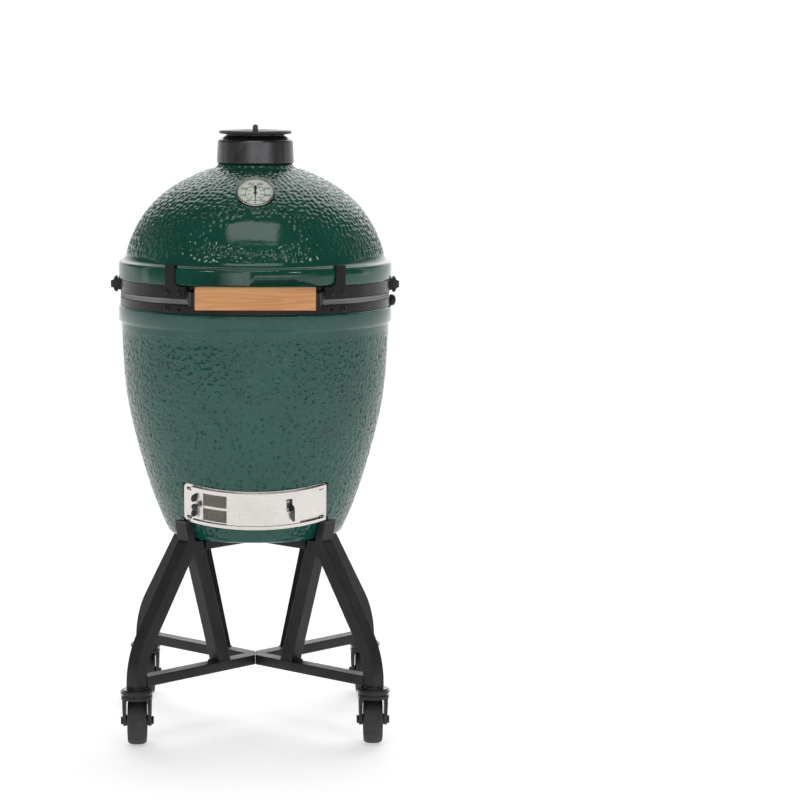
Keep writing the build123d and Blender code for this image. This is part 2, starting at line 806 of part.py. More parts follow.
def solid_slider():
    with BuildPart() as slider:
        add(curved_box(*solid_r, -15.8, 25.2, -slider_half_height, slider_half_height))
        # fin pull on its riveted pad
        add(curved_box(solid_r[1], solid_r[1] + 1.4, pull_angle - 2.8, pull_angle + 0.4, -3, 22))
        with BuildSketch(door_radial(pull_angle, solid_r[1] - 0.4, 0)):
            with BuildLine():
                Line((-1.5, 12), (1.5, 12))
                Line((1.5, 12), (1.5, -22))
                Line((1.5, -22), (-1.5, -22))
                Line((-1.5, -22), (-1.5, 12))
            make_face()
        extrude(amount=17)
        fin_edges = slider.edges().filter_by(lambda e: abs(e.length - 3) < 0.01)
        fillet(fin_edges.sort_by(lambda e: -e.center().Y)[-2:], 7)
    save(slider, "solid_slider")


def screen_slider():
    knob_r = 6.5
    with BuildPart() as slider:
        add(curved_box(*screen_r, -36.8, 1.5, -slider_half_height, slider_half_height))
        for low, high in mesh_rows:
            add(curved_box(screen_r[0] - 2, screen_r[1] + 2, *mesh_angles, low, high), mode=Mode.SUBTRACT)
        add(curved_box(screen_r[1], screen_r[1] + 1.6, knob_angle - 0.9, knob_angle + 0.9, -24, 24))
        with BuildSketch(door_radial(knob_angle, screen_r[1] + 1, 0)):
            Circle(3)
        extrude(amount=9)
        with BuildSketch(door_radial(knob_angle, screen_r[1] + 8, 0)):
            Circle(knob_r)
        extrude(amount=8)
        for height in (15.5, -16):
            with BuildSketch(door_radial(knob_angle - 1.6, screen_r[1] - 0.3, height)):
                Rectangle(3, 15)
            extrude(amount=13)
    save(slider, "screen_slider")

    with BuildPart() as mesh:
        for low, high in mesh_rows:
            add(curved_box(screen_r[0] + 0.3, screen_r[1] - 0.3, *mesh_angles, low, high))
    save(mesh, "screen_mesh")


# ================= stand =================

def tube_section():
    with BuildSketch() as section:
        RectangleRounded(tube, tube, 2.5)
        RectangleRounded(tube - 2 * tube_wall, tube - 2 * tube_wall, 1, mode=Mode.SUBTRACT)
    return section.sketch


def legs_and_struts():
    """Each corner's bent leg with its cradle block, and its inner strut, mitred where they meet."""
    lean_angle = radians(leg_lean)
    run = (caster_rho - leg_top[0]) / tan(lean_angle)
    knee = (caster_rho, leg_top[1] - run)
    strut_lean = degrees(atan2(leg_top[0] - strut_foot[0], leg_top[1] - strut_foot[1]))
    mitre_angle = radians((leg_lean - strut_lean) / 2)
    start = (leg_top[0] - 40 * sin(lean_angle), leg_top[1] + 40 * cos(lean_angle))
    struts = []
    for angle, corner in corner_names.items():
        turn = radians(angle)
        outward = Vector(cos(turn), sin(turn), 0)
        sideways = Vector(sin(turn), -cos(turn), 0)
        plane = radial_plane(angle)
        apex = plane.from_local_coords(Vector(leg_top[0], leg_top[1], 0))
        mitre_normal = outward * cos(mitre_angle) + Vector(0, 0, sin(mitre_angle))
        mitre = Plane(origin=apex, z_dir=mitre_normal)
        top_cut = Plane.XY.offset(top_bar_z[1])

        with BuildPart() as leg:
            with BuildLine(plane) as route:
                FilletPolyline(start, knee, (caster_rho, base_bar_z[0]), radius=leg_bend_r)
            with BuildSketch(Plane(origin=route.line @ 0, x_dir=sideways, z_dir=route.line % 0)):
                add(tube_section())
            sweep()
            split(bisect_by=mitre, keep=Keep.TOP)
            split(bisect_by=top_cut, keep=Keep.BOTTOM)
            # cradle block that steadies the egg's lower side
            lift = cradle_height * tan(radians(cradle_lean))
            with BuildSketch(plane.offset(-tube / 2)):
                with BuildLine():
                    Polyline((cradle_inner_rho + 5, top_bar_z[1]),
                             (cradle_inner_rho + cradle_thickness + 6, top_bar_z[1]),
                             (cradle_inner_rho + cradle_thickness + lift, top_bar_z[1] + cradle_height),
                             (cradle_inner_rho + lift, top_bar_z[1] + cradle_height), close=True)
                make_face()
            extrude(amount=tube)
        save(leg, f"leg_{corner}")

        with BuildPart() as strut:
            top_point = plane.from_local_coords(Vector(leg_top[0], leg_top[1], 0))
            foot_point = plane.from_local_coords(Vector(strut_foot[0], strut_foot[1], 0))
            with BuildSketch(Plane(origin=foot_point + (foot_point - top_point) * 0.15,
                                   x_dir=sideways, z_dir=top_point - foot_point)):
                add(tube_section())
            extrude(amount=(top_point - foot_point).length * 1.25)
            split(bisect_by=mitre, keep=Keep.BOTTOM)
            split(bisect_by=top_cut, keep=Keep.BOTTOM)
            split(bisect_by=Plane.XY.offset(base_bar_z[1]), keep=Keep.TOP)
        struts.append(strut.part)

    with BuildPart() as inner_struts:
        add(struts)
    save(inner_struts, "inner_struts")


def mitred_bars(name, z_range, end_rho, end_plane_lean):
    """Four bars from the corners, mitred against each other at the centre."""
    low, high = z_range
    half = tube / 2
    with BuildPart() as bars:
        for angle in corner_names:
            turn = radians(angle)
            flat = Plane(origin=(0, 0, low), x_dir=(cos(turn), sin(turn), 0), z_dir=(0, 0, 1))
            with BuildPart(mode=Mode.PRIVATE) as bar:
                with BuildSketch(flat):
                    with BuildLine():
                        Polyline((0.3, 0), (half + 0.3, half), (end_rho + 30, half), (end_rho + 30, -half),
                                 (half + 0.3, -half), close=True)
                    make_face()
                extrude(amount=high - low)
                end_point = flat.from_local_coords(Vector(end_rho, 0, 0))
                lean_turn = radians(end_plane_lean)
                normal = Vector(cos(turn) * cos(lean_turn), sin(turn) * cos(lean_turn), -sin(lean_turn))
                split(bisect_by=Plane(origin=end_point, z_dir=normal), keep=Keep.BOTTOM)
            add(bar.part)
    save(bars, name)


def stand_bars():
    strut_lean = degrees(atan2(leg_top[0] - strut_foot[0], leg_top[1] - strut_foot[1]))
    slope = tan(radians(strut_lean))
    strut_middle = leg_top[0] - (leg_top[1] - top_bar_z[0]) * slope
    strut_inner = strut_middle - tube / 2 / cos(radians(strut_lean))
    mitred_bars("top_bars", top_bar_z, strut_inner, -strut_lean)
    mitred_bars("base_bars", base_bar_z, caster_rho - tube / 2 - 0.8, 0)


def cradle_caps():
    cap_height = 5.0
    lift = cradle_height * tan(radians(cradle_lean))
    grow = cap_height * tan(radians(cradle_lean))
    base_z = top_bar_z[1] + cradle_height
    with BuildPart() as caps:
        for angle in corner_names:
            with BuildSketch(radial_plane(angle).offset(-tube / 2)):
                with BuildLine():
                    Polyline((cradle_inner_rho + lift + 0.6, base_z),
                             (cradle_inner_rho + cradle_thickness + lift, base_z),
                             (cradle_inner_rho + cradle_thickness + lift + grow - 1, base_z + cap_height),
                             (cradle_inner_rho + lift + grow + 1.5, base_z + cap_height), close=True)
                make_face()
            extrude(amount=tube)
    save(caps, "cradle_caps")


def stand_bolts():
    """Cap bolts at the foot of each strut."""
    bolt_rho = strut_foot[0] + 27
    with BuildPart() as bolts:
        for angle in corner_names:
            turn = radians(angle)
            seat = Plane(origin=(bolt_rho * cos(turn), bolt_rho * sin(turn), base_bar_z[1]))
            add(round_head(seat, 7.5, 7.0))
    save(bolts, "stand_bolts")


# ================= casters =================

def caster_position(angle):
    return caster_rho * cos(radians(angle)), caster_rho * sin(radians(angle))


def caster_races():
    """Fixed upper races with their mounting discs and kingpins, one under each leg."""
    bottom = race_top_z - 11
    steps = ((race_top_z - 3.2, race_top_z, 20), (race_top_z - 5.5, race_top_z - 3.2, 28),
             (bottom, race_top_z - 5.5, race_r), (crown_z[0] - 3, bottom, kingpin_r))
    with BuildPart() as races:
        for low, high, radius in steps:
            with BuildSketch(Plane.XY.offset(low)):
                with Locations([caster_position(angle) for angle in corner_names]):
                    Circle(radius)
            extrude(amount=high - low)
    save(races, "caster_races")


def caster(angle, corner):
    x, y = caster_position(angle)
    side = Plane(origin=(x, y + caster_trail, wheel_r), x_dir=(0, 1, 0), z_dir=(1, 0, 0))
    cheek_x = (-fork_half_width, fork_half_width - fork_plate)
    crown_top = crown_z[1] - wheel_r
    cheek_hollow = 3.0
    pedal_pivot = (18.0, 50.0)
    pedal_pin_r = 2.5

    with BuildPart() as fork:
        # crown under the race
        with BuildSketch(Plane.XY.offset(crown_z[0])):
            with Locations((x, y)):
                Circle(race_r - 1)
                Circle(kingpin_r + 0.06, mode=Mode.SUBTRACT)
        extrude(amount=crown_z[1] - crown_z[0])
        with BuildSketch(Plane.XY.offset(crown_z[1])):
            with Locations((x, y)):
                Circle(race_r - 4)
                Circle(kingpin_r + 0.06, mode=Mode.SUBTRACT)
        extrude(amount=race_top_z - 11 - 0.4 - crown_z[1])
        for offset in cheek_x:
            with BuildSketch(side.offset(offset)):
                with BuildLine():
                    Polyline((-caster_trail - 17, crown_top), (-caster_trail - 15, crown_top - 22),
                             (-11, -6), (11, -6), (12, 10), (24, 36), (24, crown_top), close=True)
                make_face()
                Circle(11.5)
                Circle(axle_r, mode=Mode.SUBTRACT)
                with Locations(pedal_pivot):
                    Circle(pedal_pin_r + 0.06, mode=Mode.SUBTRACT)
            extrude(amount=fork_plate)
        # pressed hollow on the outside of each cheek
        for offset, way in ((-fork_half_width, 1), (fork_half_width, -1)):
            with BuildSketch(side.offset(offset)):
                with BuildLine():
                    Polyline((-41, crown_top - 6), (-39.6, crown_top - 20), (-13.5, 3.5), (-9, 11.5),
                             (8, 14), (20, 37), (20, crown_top - 12), (10, crown_top - 6), close=True)
                make_face()
            extrude(amount=way * cheek_hollow, mode=Mode.SUBTRACT)
        # the crown curves down into the cheeks
        inner_x = fork_half_width - fork_plate
        for way in (-1, 1):
            with BuildSketch(Plane.XZ.offset(-y - 20)):
                with BuildLine():
                    ThreePointArc((x + way * inner_x, 88), (x + way * (inner_x - 2), 95),
                                  (x + way * (inner_x - 7), crown_z[0] + 0.5))
                    Line((x + way * (inner_x - 7), crown_z[0] + 0.5), (x + way * (inner_x + 1), crown_z[0] + 0.5))
                    Line((x + way * (inner_x + 1), crown_z[0] + 0.5), (x + way * (inner_x + 1), 88))
                    Line((x + way * (inner_x + 1), 88), (x + way * inner_x, 88))
                make_face()
            extrude(amount=40)
    # the axle bolt with its head and nut
    with BuildPart() as axle:
        with BuildSketch(side.offset(-fork_half_width)):
            Circle(axle_r)
        extrude(amount=2 * fork_half_width)
        for offset, way in ((-fork_half_width, -1), (fork_half_width, 1)):
            with BuildSketch(side.offset(offset)):
                RegularPolygon(8.5, 6)
            extrude(amount=way * 4.5)
    with BuildPart() as assembly:
        add(fork.part)
        add(axle.part)
    save(assembly, f"caster_fork_{corner}")

    core_half = 15.0
    with BuildPart() as core:
        with BuildSketch(side.offset(-core_half)):
            Circle(wheel_core_r)
            Circle(axle_r + 0.06, mode=Mode.SUBTRACT)
        extrude(amount=2 * core_half)
        for offset, way in ((-core_half, -1), (core_half, 1)):
            with BuildSketch(side.offset(offset)):
                Circle(11)
                Circle(axle_r + 0.06, mode=Mode.SUBTRACT)
            extrude(amount=way * 6.6)
    save(core, f"wheel_core_{corner}")

    with BuildPart() as tyre:
        with BuildSketch(side.offset(-wheel_width / 2)):
            Circle(wheel_r)
            Circle(wheel_core_r, mode=Mode.SUBTRACT)
        extrude(amount=wheel_width)
        outer_edges = tyre.edges().filter_by(GeomType.CIRCLE).group_by(SortBy.RADIUS)[-1]
        fillet(outer_edges, 12)
    save(tyre, f"tyre_{corner}")

    pedal_half = fork_half_width - fork_plate - 0.4
    with BuildPart() as pedal:
        with BuildSketch(side.offset(-pedal_half)):
            with Locations(pedal_pivot):
                Circle(pedal_pin_r + 1.8)
            with BuildLine():
                Polyline((14, 53), (14, 50.5), (20, 49), (26, 47.5), (29, 50), (43, 56), (51, 67.5),
                         (48, 69), (40, 60), (25, 54.5), close=True)
            make_face()
        extrude(amount=2 * pedal_half)
        with BuildSketch(side.offset(-fork_half_width)):
            with Locations(pedal_pivot):
                Circle(pedal_pin_r)
        extrude(amount=2 * fork_half_width)
    save(pedal, f"brake_pedal_{corner}")


# ================= build everything =================

ceramic_base()
ceramic_dome()
gaskets()
fire_box()
fire_ring()
fire_grate()
cooking_grid()
half_band("upper_band_front", upper_band_z, rear=False)
half_band("upper_band_rear", upper_band_z, rear=True)
lower_band()
front_strap()
lower_band_bolts()
hook_bracket("hook_bracket_left", -1)
hook_bracket("hook_bracket_right", 1)
handle()
dome_fasteners()
lower_hinge_bracket()
upper_hinge_bracket()
hinge_pin()
hinge_springs()
cap_body()
cap_pivot_pin()
vent_plate()
damper_disc()
thermometer()
draft_frame()
draft_frame_screws()
solid_slider()
screen_slider()
legs_and_struts()
stand_bars()
cradle_caps()
stand_bolts()
caster_races()
for caster_angle, caster_corner in corner_names.items():
    caster(caster_angle, caster_corner)
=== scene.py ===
import json
from math import cos, hypot, pi, radians, sin, sqrt, tau

import bmesh
import bpy
import numpy as np
from mathutils import Matrix, Vector
from mathutils.bvhtree import BVHTree


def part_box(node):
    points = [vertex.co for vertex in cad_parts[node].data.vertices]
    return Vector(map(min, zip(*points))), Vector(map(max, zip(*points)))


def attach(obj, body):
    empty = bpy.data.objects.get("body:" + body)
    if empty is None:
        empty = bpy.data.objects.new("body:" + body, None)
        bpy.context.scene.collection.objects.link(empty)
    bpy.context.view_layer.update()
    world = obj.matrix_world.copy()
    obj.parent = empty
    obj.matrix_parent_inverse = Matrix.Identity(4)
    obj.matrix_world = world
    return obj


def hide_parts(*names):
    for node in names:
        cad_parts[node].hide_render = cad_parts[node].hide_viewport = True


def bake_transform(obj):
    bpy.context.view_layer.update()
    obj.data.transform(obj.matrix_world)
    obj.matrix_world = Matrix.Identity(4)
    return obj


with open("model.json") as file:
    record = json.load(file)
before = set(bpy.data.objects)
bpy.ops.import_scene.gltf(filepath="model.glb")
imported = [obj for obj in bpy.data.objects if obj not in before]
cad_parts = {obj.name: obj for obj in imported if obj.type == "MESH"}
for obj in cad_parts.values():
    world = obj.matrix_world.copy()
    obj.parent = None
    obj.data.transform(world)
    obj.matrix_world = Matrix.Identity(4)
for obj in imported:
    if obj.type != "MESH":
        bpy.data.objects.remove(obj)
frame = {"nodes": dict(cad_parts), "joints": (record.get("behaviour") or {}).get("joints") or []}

# A kamado grill: glazed egg, steel bands, wooden handle, chimney cap, draft door and wheeled stand.
# Metres, in the frame's own axes: +Z up, front towards -Y.

MM = 0.001
nodes = frame["nodes"]
joints = {joint["name"]: joint for joint in frame["joints"]}
corners = ("front_left", "front_right", "rear_left", "rear_right")
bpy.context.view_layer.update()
finishes = {}
rng = np.random.default_rng(7)

dial_centre = Vector(joints["needle_turn"]["pos_m"])
dial_out = Vector(joints["needle_turn"]["axis"]).normalized()
dial_up = Vector((0, dial_out.z, -dial_out.y))
dial_across = dial_up.cross(dial_out)


# ---- shader helpers

class Nodes:
    """Shader nodes of one tree. A value is a socket, a number or a colour of three numbers."""

    def __init__(self, tree):
        self.tree = tree

    def feed(self, socket, value):
        if isinstance(value, bpy.types.NodeSocket):
            self.tree.links.new(value, socket)
        elif socket.type == "RGBA":
            socket.default_value = (*value, 1)
        else:
            socket.default_value = value

    def add(self, kind, inputs=None, **settings):
        made = self.tree.nodes.new("ShaderNode" + kind)
        for key, value in settings.items():
            setattr(made, key, value)
        for key, value in (inputs or {}).items():
            self.feed(made.inputs[key], value)
        return made

    def math(self, operation, first, second=0.0):
        return self.add("Math", {0: first, 1: second}, operation=operation).outputs[0]

    def product(self, first, *others):
        for other in others:
            first = self.math("MULTIPLY", first, other)
        return first

    def dot(self, first, second):
        return self.add("VectorMath", {0: first, 1: second}, operation="DOT_PRODUCT").outputs["Value"]

    def axis(self, vector, letter):
        return self.add("SeparateXYZ", {"Vector": vector}).outputs[letter]

    def remap(self, value, low, high, start=0.3, end=0.7):
        """The stretch from start to end of a value, as low to high."""
        return self.add("MapRange", {"Value": value, "From Min": start, "From Max": end,
                                     "To Min": low, "To Max": high}).outputs["Result"]

    def blend(self, colour, *layers):
        """A colour with others laid over it, each as (share, colour)."""
        for share, over in layers:
            colour = self.add("Mix", {0: share, 6: colour, 7: over}, data_type="RGBA").outputs[2]
        return colour


class Finish(Nodes):
    """A material; its textures are laid in the frame's metres."""

    def __init__(self, name):
        material = bpy.data.materials.new(name)
        material.use_nodes = True
        finishes[name] = material
        super().__init__(material.node_tree)
        self.shader = self.tree.nodes["Principled BSDF"]
        self.point = self.stretched((1, 1, 1))

    def stretched(self, scale):
        """The point on the surface, stretched along each axis."""
        place = self.add("TexCoord").outputs["Object"]
        return self.add("Mapping", {"Vector": place, "Scale": scale}).outputs["Vector"]

    def noise(self, scale, detail=3.0, roughness=0.55, stretch=None):
        point = self.stretched(stretch) if stretch else self.point
        return self.add("TexNoise", {"Vector": point, "Scale": scale, "Detail": detail,
                                     "Roughness": roughness}).outputs["Fac"]

    def clouds(self, low, high, scale, detail=3.0, roughness=0.55, start=0.3, end=0.7):
        """Noise of a scale, from low to high."""
        return self.remap(self.noise(scale, detail, roughness), low, high, start, end)

    def cells(self, scale, randomness=1.0):
        """Distance to the nearest of many scattered points."""
        return self.add("TexVoronoi", {"Vector": self.point, "Scale": scale,
                                       "Randomness": randomness}).outputs["Distance"]

    def bump(self, height, distance, strength):
        inputs = {"Height": height, "Distance": distance, "Strength": strength}
        return self.add("Bump", inputs).outputs["Normal"]

    def worn_and_highlit_edges(self):
        """Uneven wear and painted highlight on convex and concave edges, where the rounded normal leaves the
        true one.
        """
        rounded = self.add("Bevel", {"Radius": 1.4 * MM}, samples=4).outputs["Normal"]
        together = self.dot(rounded, self.add("NewGeometry").outputs["Normal"])
        edges = self.remap(self.math("SUBTRACT", 1.0, together), 0.0, 1.0, 0.02, 0.35)
        return self.product(edges, self.clouds(0.2, 0.8, 90, 4))

    def connect(self, **sockets):
        """Feed the shader's sockets; underscores stand for spaces."""
        for key, value in sockets.items():
            self.feed(self.shader.inputs[key.replace("_", " ")], value)


def scaled(colour, factor):
    return tuple(channel * factor for channel in colour)


# ---- materials

def glaze(name, deep, thin, gloss, pit_depth=0.0, pit_zone=(0, 1)):
    """Glossy glaze: deeper where it pools, with fine orange peel, rare pinholes, and small hammered
    pits between two heights."""
    coat = Finish(name)
    pinholes = coat.remap(coat.cells(130), 1.0, 0.0, 0.02, 0.07)
    colour = coat.blend(deep, (coat.clouds(0, 1, 14, 4), thin), (coat.clouds(0, 0.35, 160), scaled(thin, 1.5)),
                        (coat.product(pinholes, 0.7), (0.004, 0.018, 0.012)))
    height = coat.axis(coat.point, "Z")
    above = coat.remap(height, 0.0, 1.0, pit_zone[0], pit_zone[0] + 10 * MM)
    below = coat.remap(height, 1.0, 0.0, pit_zone[1] - 15 * MM, pit_zone[1])
    hollows = coat.remap(coat.cells(98, 0.75), -1.0, 0.0, 0.14, 0.37)
    peel = coat.product(coat.noise(240, 2), 0.12 * MM)
    relief = coat.math("ADD", coat.product(hollows, above, below, pit_depth), peel)
    rough = coat.clouds(*gloss, 55, 4)
    coat.connect(Base_Color=colour, Roughness=rough, IOR=1.52, Normal=coat.bump(relief, 1.0, 1.0))


def powder_coat(name, dark, light, roughness, grain, grain_depth, edge_wear_and_highlight, metallic=0.0, gloss=0.5):
    """Powder-coated or painted steel with a fine orange peel, paler dust, and edges lightened partly as wear
    and partly as a painted highlight.
    """
    coat = Finish(name)
    dust, specks = coat.clouds(0, 1, 22, 5, 0.6, 0.35, 0.7), coat.clouds(0, 0.3, 900, 2, start=0.5, end=0.75)
    # The edge colour is partly wear and partly a painted highlight on the edges.
    colour = coat.blend(dark, (dust, light), (specks, scaled(light, 1.6)), (coat.worn_and_highlit_edges(), edge_wear_and_highlight))
    rough = coat.clouds(roughness - 0.04, roughness + 0.05, 70, 4)
    coat.connect(Base_Color=colour, Roughness=rough, Metallic=metallic, Specular_IOR_Level=gloss,
                 Normal=coat.bump(coat.noise(grain), grain_depth, 0.8))


def brushed_metal(name, dark, light, roughness, stretch, groove=0.03 * MM, spread=0.1):
    """Metal brushed along the axis with the smallest stretch."""
    metal = Finish(name)
    lines = metal.noise(1.0, 4, 0.65, stretch)
    stain = metal.noise(18, 4)
    colour = metal.blend(dark, (metal.remap(lines, 0, 1), light),
                         (metal.remap(stain, 0, 0.16), scaled(dark, 0.72)))
    rough = metal.math("ADD", metal.remap(lines, roughness - spread, roughness + spread),
                       metal.remap(stain, -0.04, 0.05))
    metal.connect(Base_Color=colour, Metallic=1.0, Roughness=rough, Normal=metal.bump(lines, groove, 0.7))


def fireclay():
    """Unglazed refractory clay with grog specks and open pores."""
    clay = Finish("fireclay")
    specks = clay.remap(clay.cells(260), 0.6, 0.0, 0.05, 0.25)
    colour = clay.blend((0.50, 0.42, 0.33), (clay.clouds(0, 1, 18, 5), (0.66, 0.58, 0.47)),
                        (specks, (0.28, 0.20, 0.14)))
    pores = clay.bump(clay.noise(420, 4, 0.7), 0.4 * MM, 0.7)
    clay.connect(Base_Color=colour, Roughness=clay.clouds(0.72, 0.92, 60), Normal=pores)


def cast_iron():
    """Sand-cast iron with patches of rust."""
    iron = Finish("cast_iron")
    rust = iron.clouds(0, 0.35, 75, 5, 0.7, 0.6, 0.75)
    colour = iron.blend((0.035, 0.034, 0.034), (iron.clouds(0, 1, 30, 5), (0.085, 0.08, 0.076)),
                        (rust, (0.11, 0.05, 0.025)))
    sand = iron.bump(iron.noise(520, 3, 0.7), 0.4 * MM, 0.8)
    iron.connect(Base_Color=colour, Metallic=0.55, Roughness=iron.clouds(0.5, 0.72, 90, 4), Normal=sand)


def felt():
    """Dense needled felt: matted fibres in two directions."""
    cloth = Finish("felt")
    fibres = cloth.noise(700, 5, 0.75, (1, 1, 3))
    tufts = cloth.noise(120, 4)
    colour = cloth.blend((0.10, 0.10, 0.098), (cloth.remap(fibres, 0, 1), (0.30, 0.30, 0.29)),
                         (cloth.remap(tufts, 0, 0.5), (0.2, 0.2, 0.19)))
    cloth.connect(Base_Color=colour, Roughness=cloth.remap(tufts, 0.85, 1.0), Sheen_Weight=0.25,
                  Sheen_Roughness=0.6, Normal=cloth.bump(fibres, 0.6 * MM, 0.8))


def wood():
    """Oiled light hardwood with its grain along X."""
    timber = Finish("wood")
    drift = timber.noise(1.0, 3, stretch=(6, 40, 40))
    layers = timber.noise(1.0, 1.6, 0.45, (3.4, 30, 30))
    rings = timber.math("SINE", timber.product(layers, 62.0))
    fibres = timber.noise(1.0, 4, 0.7, (24, 700, 700))
    colour = timber.blend((0.64, 0.300, 0.108), (timber.remap(rings, 0, 1, -1.0, 1.0), (0.53, 0.215, 0.070)),
                          (timber.remap(drift, 0, 0.5), (0.69, 0.35, 0.132)),
                          (timber.remap(fibres, 0, 0.45, 0.5, 0.8), (0.33, 0.125, 0.04)))
    timber.connect(Base_Color=colour, Roughness=timber.remap(fibres, 0.38, 0.56), Coat_Weight=0.12,
                   Coat_Roughness=0.3, Normal=timber.bump(fibres, 0.12 * MM, 0.6))


def moulded(name, dark, light, roughness, scuff):
    """Moulded plastic or rubber with a pebbled surface and pale scuffs."""
    resin = Finish(name)
    scuffs = resin.remap(resin.noise(1.0, 5, 0.75, (40, 160, 160)), 0.0, 0.4, 0.56, 0.74)
    colour = resin.blend(dark, (resin.clouds(0, 1, 30, 4), light), (scuffs, scuff))
    rough = resin.clouds(roughness - 0.09, roughness + 0.09, 80, 4)
    resin.connect(Base_Color=colour, Roughness=rough, Normal=resin.bump(resin.noise(800), 0.12 * MM, 0.8))


def enamel(name, base, shade, roughness):
    """Smooth enamel with very faint clouding."""
    coat = Finish(name)
    colour = coat.blend(base, (coat.clouds(0, 1, 90, 4), shade))
    rough = coat.clouds(roughness - 0.05, roughness + 0.08, 200)
    coat.connect(Base_Color=colour, Roughness=rough, Normal=coat.bump(coat.noise(500, 2), 0.02 * MM, 0.5))


def needle_enamel():
    """Black enamel, red towards the pointing end of the needle."""
    coat = Finish("needle_enamel")
    hub = dial_centre.dot(dial_up)
    tip = coat.remap(coat.dot(coat.point, tuple(dial_up)), 1.0, 0.0, hub - 17 * MM, hub - 16 * MM)
    colour = coat.blend((0.012, 0.012, 0.013), (tip, (0.55, 0.035, 0.022)),
                        (coat.clouds(0, 0.3, 400), (0.03, 0.03, 0.03)))
    coat.connect(Base_Color=colour, Roughness=coat.clouds(0.3, 0.45, 300))


def cover_glass():
    """Flat cover glass with faint smears."""
    glass = Finish("cover_glass")
    glass.tree.nodes.remove(glass.shader)
    smear = glass.remap(glass.noise(1.0, 4, stretch=(60, 160, 160)), 0.02, 0.10)
    glossy = glass.add("BsdfGlossy", {"Color": (1, 1, 1), "Roughness": smear}).outputs["BSDF"]
    clear = glass.add("BsdfTransparent", {"Color": (0.96, 0.98, 0.97)}).outputs["BSDF"]
    facing = glass.add("LayerWeight", {"Blend": 0.5}).outputs["Facing"]
    mirrored = glass.math("ADD", glass.product(glass.math("POWER", facing, 5.0), 0.5), 0.01)
    mix = glass.add("MixShader", {0: mirrored, 1: clear, 2: glossy})
    glass.feed(glass.tree.nodes["Material Output"].inputs["Surface"], mix.outputs[0])


def make_finishes():
    satin = (0.06, 0.12)
    pits_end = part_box("lower_band")[0].z - 40 * MM
    glaze("green_glaze", (0.0035, 0.050, 0.031), (0.006, 0.070, 0.046), satin)
    glaze("pitted_glaze", (0.0025, 0.054, 0.039), (0.0045, 0.076, 0.057), satin, 1.8 * MM, (0.41, pits_end))
    glaze("inner_glaze", (0.020, 0.062, 0.045), (0.035, 0.090, 0.066), (0.28, 0.45))
    fireclay()
    cast_iron()
    felt()
    wood()
    needle_enamel()
    cover_glass()
    fine = 0.05 * MM
    # The last colour of each powder coat lightens its edges: partly wear, partly a painted highlight.
    powder_coat("band_black", (0.004, 0.004, 0.0045), (0.010, 0.010, 0.011), 0.24, 1100, fine,
                (0.05, 0.05, 0.054), gloss=0.3)
    powder_coat("black_fastener", (0.010, 0.010, 0.011), (0.026, 0.026, 0.028), 0.3, 1500, fine,
                (0.14, 0.14, 0.15), 0.5)
    powder_coat("cap_metal", (0.085, 0.085, 0.089), (0.100, 0.100, 0.105), 0.26, 1300, 0.02 * MM,
                (0.22, 0.22, 0.23), 0.9)
    powder_coat("cap_black", (0.022, 0.022, 0.024), (0.050, 0.050, 0.053), 0.40, 1300, fine,
                (0.13, 0.13, 0.14), 0.3)
    powder_coat("door_black", (0.020, 0.020, 0.022), (0.048, 0.048, 0.052), 0.33, 1300, fine,
                (0.16, 0.16, 0.17), 0.4)
    powder_coat("stand_grey", (0.010, 0.010, 0.011), (0.020, 0.020, 0.021), 0.44, 800, 0.10 * MM,
                (0.07, 0.07, 0.074), gloss=0.34)
    powder_coat("caster_black", (0.010, 0.010, 0.011), (0.024, 0.024, 0.026), 0.26, 1200, fine,
                (0.12, 0.12, 0.13), 0.35)
    brushed_metal("grid_steel", (0.46, 0.45, 0.44), (0.62, 0.61, 0.60), 0.27, (60, 600, 600))
    brushed_metal("spring_steel", (0.20, 0.20, 0.21), (0.36, 0.36, 0.37), 0.32, (900, 90, 90))
    brushed_metal("mesh_steel", (0.34, 0.31, 0.285), (0.50, 0.47, 0.43), 0.42, (300, 300, 300))
    brushed_metal("bezel_steel", (0.34, 0.335, 0.325), (0.48, 0.475, 0.46), 0.2, (500, 500, 120),
                  0.01 * MM, 0.04)
    brushed_metal("stainless", (0.66, 0.625, 0.595), (0.745, 0.71, 0.68), 0.27, (14, 500, 500),
                  0.01 * MM, 0.05)
    enamel("dial_white", (0.90, 0.875, 0.825), (0.94, 0.92, 0.87), 0.4)
    enamel("dial_ink", (0.008, 0.008, 0.009), (0.016, 0.016, 0.016), 0.5)
    enamel("dial_red", (0.58, 0.045, 0.03), (0.48, 0.035, 0.025), 0.5)
    moulded("cap_plastic", (0.012, 0.012, 0.013), (0.028, 0.028, 0.03), 0.46, (0.06, 0.06, 0.062))
    moulded("wheel_core", (0.035, 0.035, 0.037), (0.060, 0.060, 0.063), 0.5, (0.12, 0.12, 0.12))
    moulded("tyre_rubber", (0.030, 0.030, 0.032), (0.048, 0.048, 0.051), 0.72, (0.10, 0.10, 0.10))


# ---- mesh helpers

def new_object(name, data):
    made = bpy.data.objects.new(name, data)
    bpy.context.scene.collection.objects.link(made)
    return made


def new_mesh(name, vertices, faces):
    mesh = bpy.data.meshes.new(name)
    mesh.from_pydata(vertices, [], faces)
    return mesh


def evaluated_mesh(made):
    """A mesh of its own with the object's modifiers applied."""
    bpy.context.view_layer.update()
    return bpy.data.meshes.new_from_object(made.evaluated_get(bpy.context.evaluated_depsgraph_get()))


def show(name, mesh, finish, smooth_angle=35):
    """An object with one material, its faces smooth except across sharp edges."""
    made = new_object(name, mesh)
    mesh.materials.clear()
    mesh.materials.append(finishes[finish])
    mesh.polygons.foreach_set("use_smooth", [True] * len(mesh.polygons))
    mesh.set_sharp_from_angle(angle=radians(smooth_angle))
    return made


def join_shapes(shapes):
    """Several (vertices, faces) as one."""
    vertices, faces = [], []
    for some_vertices, some_faces in shapes:
        start = len(vertices)
        vertices.extend(some_vertices)
        faces.extend([tuple(index + start for index in face) for face in some_faces])
    return vertices, faces


